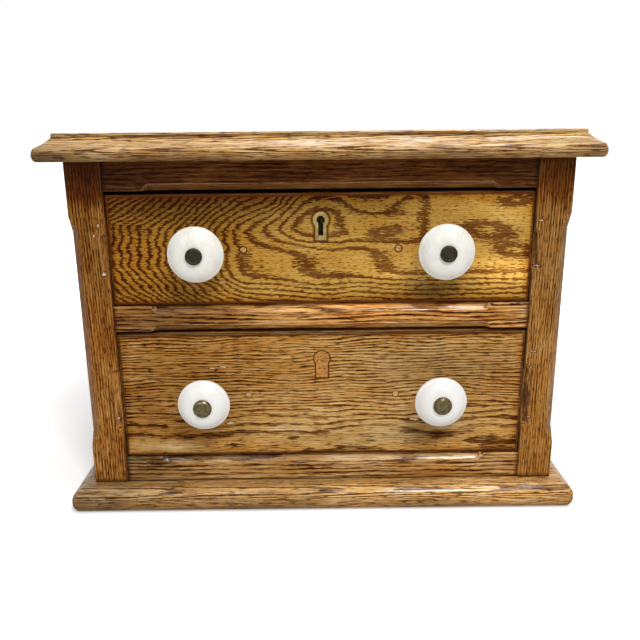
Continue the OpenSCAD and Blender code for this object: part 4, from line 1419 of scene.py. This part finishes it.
@dataclass
class Fasteners:
    """Set of equal fasteners that stand for one node."""

    node: str
    kind: str
    body: str
    slot: str
    way: Way
    tree: FastenerTree
    sizes: dict[str, float]
    material: bpy.types.Material
    widest: float = 1.0
    seed: int = 7

    def points(self) -> list[Vector]:
        """Find where the fasteners of the node start.

        Returns:
            The middle of the outer face of each solid that is no deeper than the widest.
        """
        found = []
        for low, high in solids_of(self.node):
            start = middle_of(low, high)
            axis = 2 if self.way is Way.UP else 1
            start[axis] = high[axis] if self.way is Way.TO_FRONT else low[axis]
            if high[axis] - low[axis] <= self.widest:
                found.append(start)
        return found

    def build(self) -> None:
        """Set the fasteners, turn them into one mesh and settle it."""
        shape = bmesh.new()
        for point in self.points():
            shape.verts.new(point)
        piece = make_piece(shape, f"{self.node}_{self.kind}", self.material)
        modifier = piece.modifiers.new("fasteners", "NODES")
        modifier.node_group = self.tree.tree
        given = {**self.sizes, "Way": self.way.value, "Seed": self.seed, "Material": self.material}
        for key, value in given.items():
            modifier[self.tree.sockets[key]] = value
        plain_piece(piece)
        clean_piece(piece)
        settle(piece, self.body, self.node)


def turned_piece(name: str, outlines: Sequence[tuple[Vector, list[Point2]]], sides: int,
                 material: bpy.types.Material) -> bpy.types.Object:
    """Turn one or more outlines round axes that point to the front.

    Args:
        name: Name of the piece.
        outlines: Start of each axis with its radii and heights, from the back to the front.
        sides: Number of sides.
        material: Material of the piece.

    Returns:
        The piece.
    """
    shape = bmesh.new()
    angles = [2 * math.pi * i / sides for i in range(sides)]
    for start, outline in outlines:
        rings = []
        for radius, height in outline:
            spots = [(radius * math.cos(a), -height, radius * math.sin(a)) for a in angles]
            if radius < 1e-6:
                spots = [(0, -height, 0)]
            rings.append([shape.verts.new(start + Vector(spot)) for spot in spots])
        if len(rings[0]) > 1 and len(rings[-1]) > 1:
            rings.append(rings[0])
        for first, second in zip(rings, rings[1:]):
            for i in range(sides):
                j = (i + 1) % sides
                corners = dict.fromkeys((first[i % len(first)], first[j % len(first)],
                                         second[j % len(second)], second[i % len(second)]))
                if len(corners) > 2:
                    shape.faces.new(tuple(corners))
    bmesh.ops.recalc_face_normals(shape, faces=shape.faces)
    return make_piece(shape, name, material)


TURNED_DEG = 50.0


@dataclass
class Knob:
    """Porcelain knob with a hollowed neck and a crowned face."""

    node: str
    glaze: GlazeFinish
    bore: float = 0.0028
    foot: float = 0.0115
    foot_ease: float = 0.0004
    neck: float = 0.018
    reach: float = 0.019
    crown: float = 0.008
    rim: float = 0.0022
    lip_deg: float = 72.0
    seat: float = 0.00625
    waist_at: float = 0.55
    roll_deg: Point2 = (-75.0, 60.0)
    face_pull: float = 0.72
    sides: int = 72

    def outline(self, radius: float) -> list[Point2]:
        """Half section of the knob from the drawer outwards.

        Args:
            radius: Radius of the rim.

        Returns:
            Radii and heights.
        """
        edge = radius - self.rim
        face = self.reach + self.crown
        waist = self.neck - (self.foot + edge) / 2
        lip = math.radians(self.lip_deg)
        lip_point = (radius - self.rim * (1 - math.cos(lip)), self.reach + self.rim * math.sin(lip))
        points = [(self.bore, 0.0), (self.foot - self.foot_ease, 0.0), (self.foot, self.foot_ease)]
        points += curve_points((self.foot, self.rim), (waist, self.reach * self.waist_at),
                               (edge, self.reach - self.rim), 16)
        points += arc_points((edge, self.reach), self.rim, *self.roll_deg, 12)
        points += curve_points(lip_point, (self.face_pull * radius, face), (self.seat, face), 18)
        return points + [(self.bore, face)]

    def build(self, body: str) -> None:
        """Turn the knob, glaze it and settle it.

        Args:
            body: Drawer that carries it.
        """
        low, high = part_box(self.node)
        middle = middle_of(low, high)
        start = Vector((middle.x, high.y, middle.z))
        outline = self.outline((high.x - low.x) / 2)
        piece = turned_piece(f"{self.node}_turned", [(start, outline)], self.sides, self.glaze.dress(middle))
        settle(piece, body, self.node, TURNED_DEG)


@dataclass
class KnobBolts:
    """Bolts of a drawer's knobs, with flat or domed heads."""

    drawer: str
    slot: str
    metal: MetalFinish
    head: float
    head_height: float
    domed: bool
    shank: float = 0.0025
    tip: float = 0.0005
    sides: int = 40

    def crown(self, seat: float) -> list[Point2]:
        """Half section of the head.

        Args:
            seat: Height of its seat.

        Returns:
            Radii and heights.
        """
        radius, top = self.head / 2, seat + self.head_height
        shoulder = (radius, seat + 0.001)
        if self.domed:
            return [(radius, seat), (radius, seat + 0.0006)] + curve_points(
                shoulder, (0.8 * radius, top), (0.0, top), 14)
        edge = [(radius, seat)] + curve_points(shoulder, (radius, top), (radius - 0.0012, top), 5)
        groove = [(0.72 * radius, top), (0.66 * radius, top - 0.0004), (0.58 * radius, top - 0.0003)]
        return edge + groove + curve_points((0.5 * radius, top - 0.0001), (0.3 * radius, top), (0.0, top), 6)

    def build(self) -> None:
        """Turn the bolts, dress them and settle them."""
        node = f"{self.drawer}_knob_bolts"
        outlines = []
        for low, high in solids_of(node):
            middle = middle_of(low, high)
            seat = high.y - low.y - self.head_height
            shank = [(0.0, 0.0), (self.shank - self.tip, 0.0), (self.shank, self.tip), (self.shank, seat)]
            outlines.append((Vector((middle.x, high.y, middle.z)), shank + self.crown(seat)))
        metal = self.metal.dress(middle_of(*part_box(node)))
        piece = turned_piece(f"{node}_turned", outlines, self.sides, metal)
        settle(piece, f"{self.drawer}_drawer", node, TURNED_DEG)


@dataclass
class Inlay:
    """Small flat inlay in a drawer front or a lock, with its front edges eased."""

    node: str
    body: str
    slot: str
    material: bpy.types.Material
    ease: float = 0.0003
    all_edges: bool = False
    least_deg: float = 30.0

    def picks(self, edge: bmesh.types.BMEdge) -> bool:
        """Tell whether an edge is eased.

        Args:
            edge: The edge.

        Returns:
            True for a sharp edge round the front face, or for any where all edges are eased.
        """
        if len(edge.link_faces) != 2 or edge.calc_face_angle_signed(0.0) < math.radians(self.least_deg):
            return False
        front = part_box(self.node)[0].y
        return self.all_edges or all(abs(vert.co.y - front) < LEVEL for vert in edge.verts)

    def build(self) -> None:
        """Ease the inlay's edges, dress it and settle it."""
        shape = merged_copy(self.node)
        Arris(self.ease, 0.0, 1.0).work(shape, 0, 1.0, self.picks)
        settle(make_piece(shape, f"{self.node}_inlay", self.material), self.body, self.node)


@dataclass
class Trees:
    """Geometry Nodes trees of all the small fasteners."""

    screws: FastenerTree = field(default_factory=screw_tree)
    nails: FastenerTree = field(default_factory=nail_tree)
    nuts: FastenerTree = field(default_factory=nut_tree)
    plugs: FastenerTree = field(default_factory=plug_tree)


NAIL = {"Head": 0.004, "Head height": 0.001, "Shank": 0.0018, "Length": 0.017}
SCREW = {"Head": 0.008, "Head height": 0.003, "Shank": 0.004, "Slot": 0.001}
LOCK_SCREW = {"Head": 0.005, "Head height": 0.0013, "Shank": 0.0024, "Slot": 0.0007, "Length": 0.011}
NUT = {"Washer": 0.014, "Washer height": 0.0012, "Nut": 0.009, "Nut height": 0.004, "Bore": 0.0052}
PLUG = {"Plug": 0.0045, "Length": 0.01, "Ease": 0.0003}
SIDES = ("left", "right")
LEFT_CHIPS = (Lens(83, -8.5, 2.2, 1.6, 0, 1.0), Lens(75.5, -4.5, 1.4, 1.2, 0, 1.0),
              Lens(46, -9.5, 2.2, 2.2, 0, 1.0), Lens(-74, -9.8, 1.4, 2.0, 0, 1.0))
RIGHT_CHIPS = (Lens(84, 9.5, 1.0, 3.0, 0, 1.0), Lens(49, 9.8, 1.0, 3.0, 0, 1.0),
               Lens(-20, 8.5, 0.9, 3.2, 6, 1.0), Lens(-76, 8.0, 0.8, 2.4, 0, 0.9))
# Top: darker towards the nose's ends, and a painted sheen along the middle.
TOP_PAINTED_LIGHT = (Lens(-200, -6, 36, 7, 0, -0.75), Lens(196, -6, 34, 6, 0, -0.3), Lens(60, 4, 120, 8, 0, 0.12))
# Base: painted light brighter to the right; darker at the left end, partly painted shade and partly stain.
BASE_PAINTED_LIGHT = (Lens(130, 0, 110, 60, 0, 0.5), Lens(-190, 2, 50, 30, 0, -0.45))
# Painted shade below the top's overhang on the upper part of the posts.
POST_OVERHANG_SHADE = (Lens(80, 0, 75, 60, 0, -0.25),)
# Bottom rail: darker at the left, partly painted shade and partly stain, a painted shadow along the left of the upper
# chamfer, and painted light to the right.
BOTTOM_RAIL_PAINTED_LIGHT = (Lens(-155, 0, 45, 40, 0, -0.4), Lens(-110, 10.5, 80, 3.2, 0, -0.7), Lens(110, 0, 40, 30, 0, 0.15))
# Middle rail: darker at the left, partly painted shade and partly stain, a painted highlight along the upper chamfer,
# and painted light in the middle.
MIDDLE_RAIL_PAINTED_LIGHT = (Lens(-130, 0, 62, 40, 0, -0.55), Lens(20, 10, 60, 4, 0, 0.7), Lens(30, 0, 50, 30, 0, 0.2))
# Top rail: darker towards both ends.
TOP_RAIL_DARKER_ENDS = (Lens(-150, 0, 32, 30, 0, -0.4), Lens(150, 0, 26, 30, 0, -0.35))


@dataclass
class Carcase:
    """Top, base, corner posts, rails, side frames, back boards and what carries the drawers."""

    trees: Trees
    worn: Arris = Arris(0.0009, 0.0004)
    plain: Arris = Arris(0.0005, 0.0001, 0.02)
    top_corner: float = 0.003
    base_corner: float = 0.005
    post_seam_mm: float = 130.75
    rail_seam_mm: float = 163.0

    def oak(self, board: Board, finish: WoodFinish) -> None:
        """Build one worn board of the case."""
        Timber(board, "carcase", "case_oak", finish, self.worn).build()

    def lining(self, board: Board) -> None:
        """Build one plain board inside the case."""
        Timber(board, "carcase", "lining_wood", LINING_WOOD, self.plain).build()

    def moulded(self) -> None:
        """Build the top and the base."""
        top = Board("top_board", Grain.ALONG_X, (40, -95), 11.0, drift=0.01, painted_light_and_stains=TOP_PAINTED_LIGHT)
        TopBoard(top, TOP_OAK, self.top_corner).build()
        base = Board("base_board", Grain.ALONG_X, (-60, -70), 23.0, 1.16, drift=-0.012, painted_light_and_stains=BASE_PAINTED_LIGHT)
        BaseBoard(base, BASE_OAK, self.base_corner).build()

    def framing(self) -> None:
        """Build the posts, the rails and the side frames."""
        posts = (("front_left", (70, 62), LEFT_CHIPS), ("front_right", (66, -58), RIGHT_CHIPS),
                 ("back_left", (-64, 70), ()), ("back_right", (-70, -66), ()))
        for index, (place, heart, chips) in enumerate(posts):
            tone, overhang_shade_and_soiling = (1.04, 0.72) if "right" in place else (1.2, 0.98)
            self.oak(Board(f"post_{place}", Grain.ALONG_Z, heart, 31.0 + 7 * index, tone, drift=0.012, overhang_shade_and_soiling=overhang_shade_and_soiling,
                           seam_mm=self.post_seam_mm, chips=chips, painted_light_and_stains=POST_OVERHANG_SHADE), POST_OAK)
        fronts = (("bottom", 1.1, -0.1, 0.9, LOW_RAIL_OAK, BOTTOM_RAIL_PAINTED_LIGHT),
                  ("middle", 1.16, -0.1, 0.0, RAIL_OAK, MIDDLE_RAIL_PAINTED_LIGHT), ("top", 1.0, -0.3, 0.0, SHADED_TOP_RAIL_OAK, TOP_RAIL_DARKER_ENDS))
        for index, (place, tone, lift, foot, finish, painted_light_and_stains) in enumerate(fronts):
            self.oak(Board(f"rail_front_{place}", Grain.ALONG_X, (58, -64 + 9 * index), 61.0 + 5 * index, tone,
                           lift=lift, seam_mm=self.rail_seam_mm, foot=foot, painted_light_and_stains=painted_light_and_stains), finish)
        for index, side in enumerate(SIDES):
            way = 2 * index - 1
            for level, tone in (("low", 1.05), ("high", 1.2)):
                self.oak(Board(f"side_rail_{level}_{side}", Grain.ALONG_Y, (60 * way, -66), 80.0 + 3 * index, tone),
                         RAIL_OAK)
            panel = Board(f"side_panel_{side}", Grain.ALONG_Z, (8, 46 * way), 90.0 + 4 * index, drift=0.03, overhang_shade_and_soiling=0.2)
            Timber(panel, "carcase", "case_oak", RAIL_OAK).build()

    def inside(self) -> None:
        """Build the back boards and the pieces that carry and stop the drawers."""
        for index, place in enumerate(("left", "middle", "right")):
            board = Board(f"back_board_{place}", Grain.ALONG_Z, (60, 12 - 14 * index), 101.0 + 6 * index, drift=0.03)
            Timber(board, "carcase", "back_wood", BACK_WOOD).build()
        for index, level in enumerate(("bottom", "middle", "top")):
            self.lining(Board(f"rail_back_{level}", Grain.ALONG_X, (50, -55), 121.0 + index))
        names = [f"runner_{level}_{side}" for level in ("lower", "upper") for side in SIDES]
        for index, name in enumerate(names + ["kicker_left", "kicker_right", "drawer_guides"]):
            self.lining(Board(name, Grain.ALONG_Y, (55, -48), 130.0 + 2 * index))
        self.lining(Board("drawer_stops", Grain.ALONG_X, (50, -40), 150.0))

    def fixings(self) -> None:
        """Set the screws and the nails."""
        steel = STEEL.dress()
        for node in ("top_screws", "base_screws"):
            low, high = solids_of(node)[0]
            sizes = {**SCREW, "Length": high.z - low.z}
            Fasteners(node, "slotted", "carcase", "steel", Way.UP, self.trees.screws, sizes, steel).build()
        Fasteners("back_nails", "wire", "carcase", "steel", Way.TO_FRONT, self.trees.nails, NAIL, steel).build()

    def build(self) -> None:
        """Build all of the carcase."""
        for step in (self.moulded, self.framing, self.inside, self.fixings):
            step()


@dataclass
class Drawer:
    """Drawer with its front, lining, knobs, plugs and nails."""

    name: str
    front: FrontFinish
    glaze: GlazeFinish
    bolts: KnobBolts
    trees: Trees
    seed: float
    heart_mm: Point2 = (0.0, 240.0)
    front_arris: Arris = Arris(0.0012, 0.0003)
    plain: Arris = Arris(0.0006, 0.0002, 0.01)
    washer_limit: float = 0.002

    @property
    def body(self) -> str:
        """Name of the drawer's body."""
        return f"{self.name}_drawer"

    def box(self) -> None:
        """Build the front and the lining."""
        front = Board(f"{self.name}_front", Grain.ALONG_X, self.heart_mm, self.seed, drift=-0.012)
        Timber(front, self.body, "front_oak", self.front, self.front_arris).build()
        lining = (("side_left", Grain.ALONG_Y, (30, -70)), ("side_right", Grain.ALONG_Y, (-30, -70)),
                  ("back", Grain.ALONG_X, (45, -60)), ("bottom", Grain.ALONG_X, (-40, -55)))
        for index, (part, grain, heart) in enumerate(lining):
            board = Board(f"{self.name}_{part}", grain, heart, self.seed + 5 + 3 * index, drift=0.02)
            Timber(board, self.body, "lining_wood", LINING_WOOD, self.plain).build()

    def fittings(self) -> None:
        """Fit the knobs with their bolts and nuts, the plugs and the nails."""
        for side in SIDES:
            Knob(f"{self.name}_knob_{side}", self.glaze, seat=self.bolts.head / 2).build(self.body)
        self.bolts.build()
        steel = STEEL.dress()
        Fasteners(f"{self.name}_knob_nuts", "square", self.body, "steel", Way.TO_BACK, self.trees.nuts, NUT, steel,
                  self.washer_limit).build()
        plugs = f"{self.name}_plugs"
        wood = PATCH_WOOD.dress(Board(plugs, Grain.ALONG_X, (20, 30), self.seed + 31, tone=0.7))
        Fasteners(plugs, "round", self.body, "patch_wood", Way.TO_BACK, self.trees.plugs, PLUG, wood).build()
        nails = f"{self.name}_bottom_nails"
        low, high = solids_of(nails)[0]
        sizes = {**NAIL, "Length": high.z - low.z}
        Fasteners(nails, "wire", self.body, "steel", Way.UP, self.trees.nails, sizes, steel).build()

    def build(self) -> None:
        """Build all of the drawer."""
        self.box()
        self.fittings()


@dataclass
class Lock:
    """Lock of the upper drawer with its escutcheon, and the patch of the lower drawer."""

    trees: Trees

    def build(self) -> None:
        """Build the lock, the escutcheon and the patch."""
        brass = BRASS.dress()
        Inlay("escutcheon", "upper_drawer", "brass", brass, 0.0004).build()
        Inlay("lock_plate", "upper_drawer", "brass", TARNISHED.dress(), 0.0002).build()
        Inlay("lock_case", "upper_drawer", "steel", STEEL.dress(), 0.0003).build()
        Inlay("lock_bolt", "lock_bolt", "brass", brass, 0.0004, True).build()
        Fasteners("lock_screws", "slotted", "upper_drawer", "brass", Way.TO_FRONT, self.trees.screws, LOCK_SCREW,
                  brass).build()
        patch = Board("keyhole_patch", Grain.ALONG_X, (6, 9), 171.0)
        Inlay("keyhole_patch", "lower_drawer", "patch_wood", PATCH_WOOD.dress(patch), 0.0005).build()


@dataclass
class Lamp:
    """Soft rectangular studio lamp."""

    name: str
    place: Triple
    aim: Triple
    size: Point2
    power: float

    def hang(self) -> None:
        """Hang the lamp and aim it."""
        light = bpy.data.lights.new(self.name, "AREA")
        light.shape = "RECTANGLE"
        light.size, light.size_y = self.size
        light.energy = self.power
        lamp = link_object(self.name, light)
        lamp.location = self.place
        lamp.rotation_euler = (Vector(self.aim) - Vector(self.place)).to_track_quat("-Z", "Y").to_euler()


@dataclass
class Studio:
    """White floor and surroundings, soft lamps and the camera."""

    focal_px: float = 685.63
    image_px: float = 640.0
    eye: Triple = (-0.0042271, -0.6389115, 0.3000202)
    yaw: float = 0.3289
    pitch: float = 15.2001
    roll: float = -0.5436
    floor_reach: float = 8.0
    floor_low: Colour = (0.92, 0.92, 0.92)
    floor_high: Colour = (0.95, 0.95, 0.95)
    floor_lit: Colour = (0.75, 0.75, 0.75)
    white: Colour = (1.0, 1.0, 1.0)
    ambient: float = 0.35
    mirrored: float = 1.0
    mottle_mm: float = 220.0
    far_mm: Point2 = (300.0, 800.0)
    far_glow: Point2 = (0.3, 1.0)
    floor_rough: tuple[float, float, float, float] = (0.2, 0.8, 0.7, 0.8)
    sensor_mm: float = 36.0
    near: float = 0.01
    lamp_list: tuple[Lamp, ...] = (
        Lamp("overhead", (0.2, 0.2, 1.6), (0.0, 0.0, 0.2), (1.0, 0.5), 8.0),
        Lamp("high_front", (0.4, -0.46, 1.5), (0.1, -0.12, 0.1), (0.36, 0.24), 4.0),
        Lamp("right_key", (0.45, -1.45, 1.75), (0.0, -0.1, 0.15), (0.5, 0.4), 24.0),
        Lamp("left_fill", (-0.9, -1.3, 1.25), (0.0, -0.1, 0.15), (1.2, 0.9), 5.0),
    )

    def floor(self) -> None:
        """Lay a wide pale floor."""
        shape = bmesh.new()
        bmesh.ops.create_grid(shape, x_segments=8, y_segments=8, size=self.floor_reach)
        coat = Coating("studio_floor")
        mottle = coat.speckle((self.mottle_mm,) * 3, 1.0, 2.0)
        seen, mirror = coat.rays()
        shown = coat.math("MAXIMUM", seen, mirror)
        far = coat.ease(coat.vector("LENGTH", coat.place), *self.far_mm, *self.far_glow)
        coat.paint({
            "Base Color": coat.blend(shown, self.floor_lit, coat.blend(mottle, self.floor_low, self.floor_high)),
            "Roughness": coat.ease(mottle, *self.floor_rough), "Specular IOR Level": 0.0,
            "Emission Color": self.white, "Emission Strength": far * seen,
        })
        make_piece(shape, "studio_floor", coat.material)

    def world(self) -> None:
        """Surround the scene with white, dimmer where it lights the object."""
        world = bpy.data.worlds.new("studio_white")
        bpy.context.scene.world = world
        world.use_nodes = True
        world.node_tree.nodes.clear()
        wiring = Wiring(world.node_tree)
        seen, mirror = wiring.rays()
        strength = wiring.math("MAXIMUM", seen, wiring.ease(mirror, 0.0, 1.0, self.ambient, self.mirrored))
        back = wiring.get("ShaderNodeBackground", {"Color": self.white, "Strength": strength})
        wiring.add("ShaderNodeOutputWorld", {"Surface": back})

    def camera(self) -> None:
        """Set the camera where the photograph was taken from."""
        yaw, pitch, roll = (math.radians(a) for a in (self.yaw, self.pitch, self.roll))
        ahead = Vector((math.sin(yaw) * math.cos(pitch), math.cos(yaw) * math.cos(pitch), -math.sin(pitch)))
        right = Vector((math.cos(yaw), -math.sin(yaw), 0.0))
        up = right.cross(ahead)
        side = right * math.cos(roll) + up * math.sin(roll)
        top = up * math.cos(roll) - right * math.sin(roll)
        lens = bpy.data.cameras.new("photo_camera")
        lens.sensor_width = self.sensor_mm
        lens.lens = self.focal_px / self.image_px * self.sensor_mm
        lens.clip_start = self.near
        camera = link_object("photo_camera", lens)
        camera.matrix_world = Matrix.Translation(self.eye) @ Matrix((side, top, -ahead)).transposed().to_4x4()
        bpy.context.scene.camera = camera

    def build(self) -> None:
        """Set up the studio."""
        bpy.context.scene.view_settings.view_transform = "Standard"
        self.camera()
        self.floor()
        self.world()
        for lamp in self.lamp_list:
            lamp.hang()


def main() -> None:
    """Build the studio and the cabinet, piece by piece."""
    logging.basicConfig(level=logging.INFO, format="%(name)s %(message)s")
    Studio().build()
    trees = Trees()
    Carcase(trees).build()
    Drawer("upper", UPPER_OAK, UPPER_GLAZE, KnobBolts("upper", "dark_bronze", DARK_BRONZE, 0.0125, 0.0024, False),
           trees, 201.0).build()
    Drawer("lower", LOWER_OAK, LOWER_GLAZE, KnobBolts("lower", "aged_brass", AGED_BRASS, 0.0144, 0.0038, True),
           trees, 251.0).build()
    Lock(trees).build()


if __name__ == "__main__":
    main()
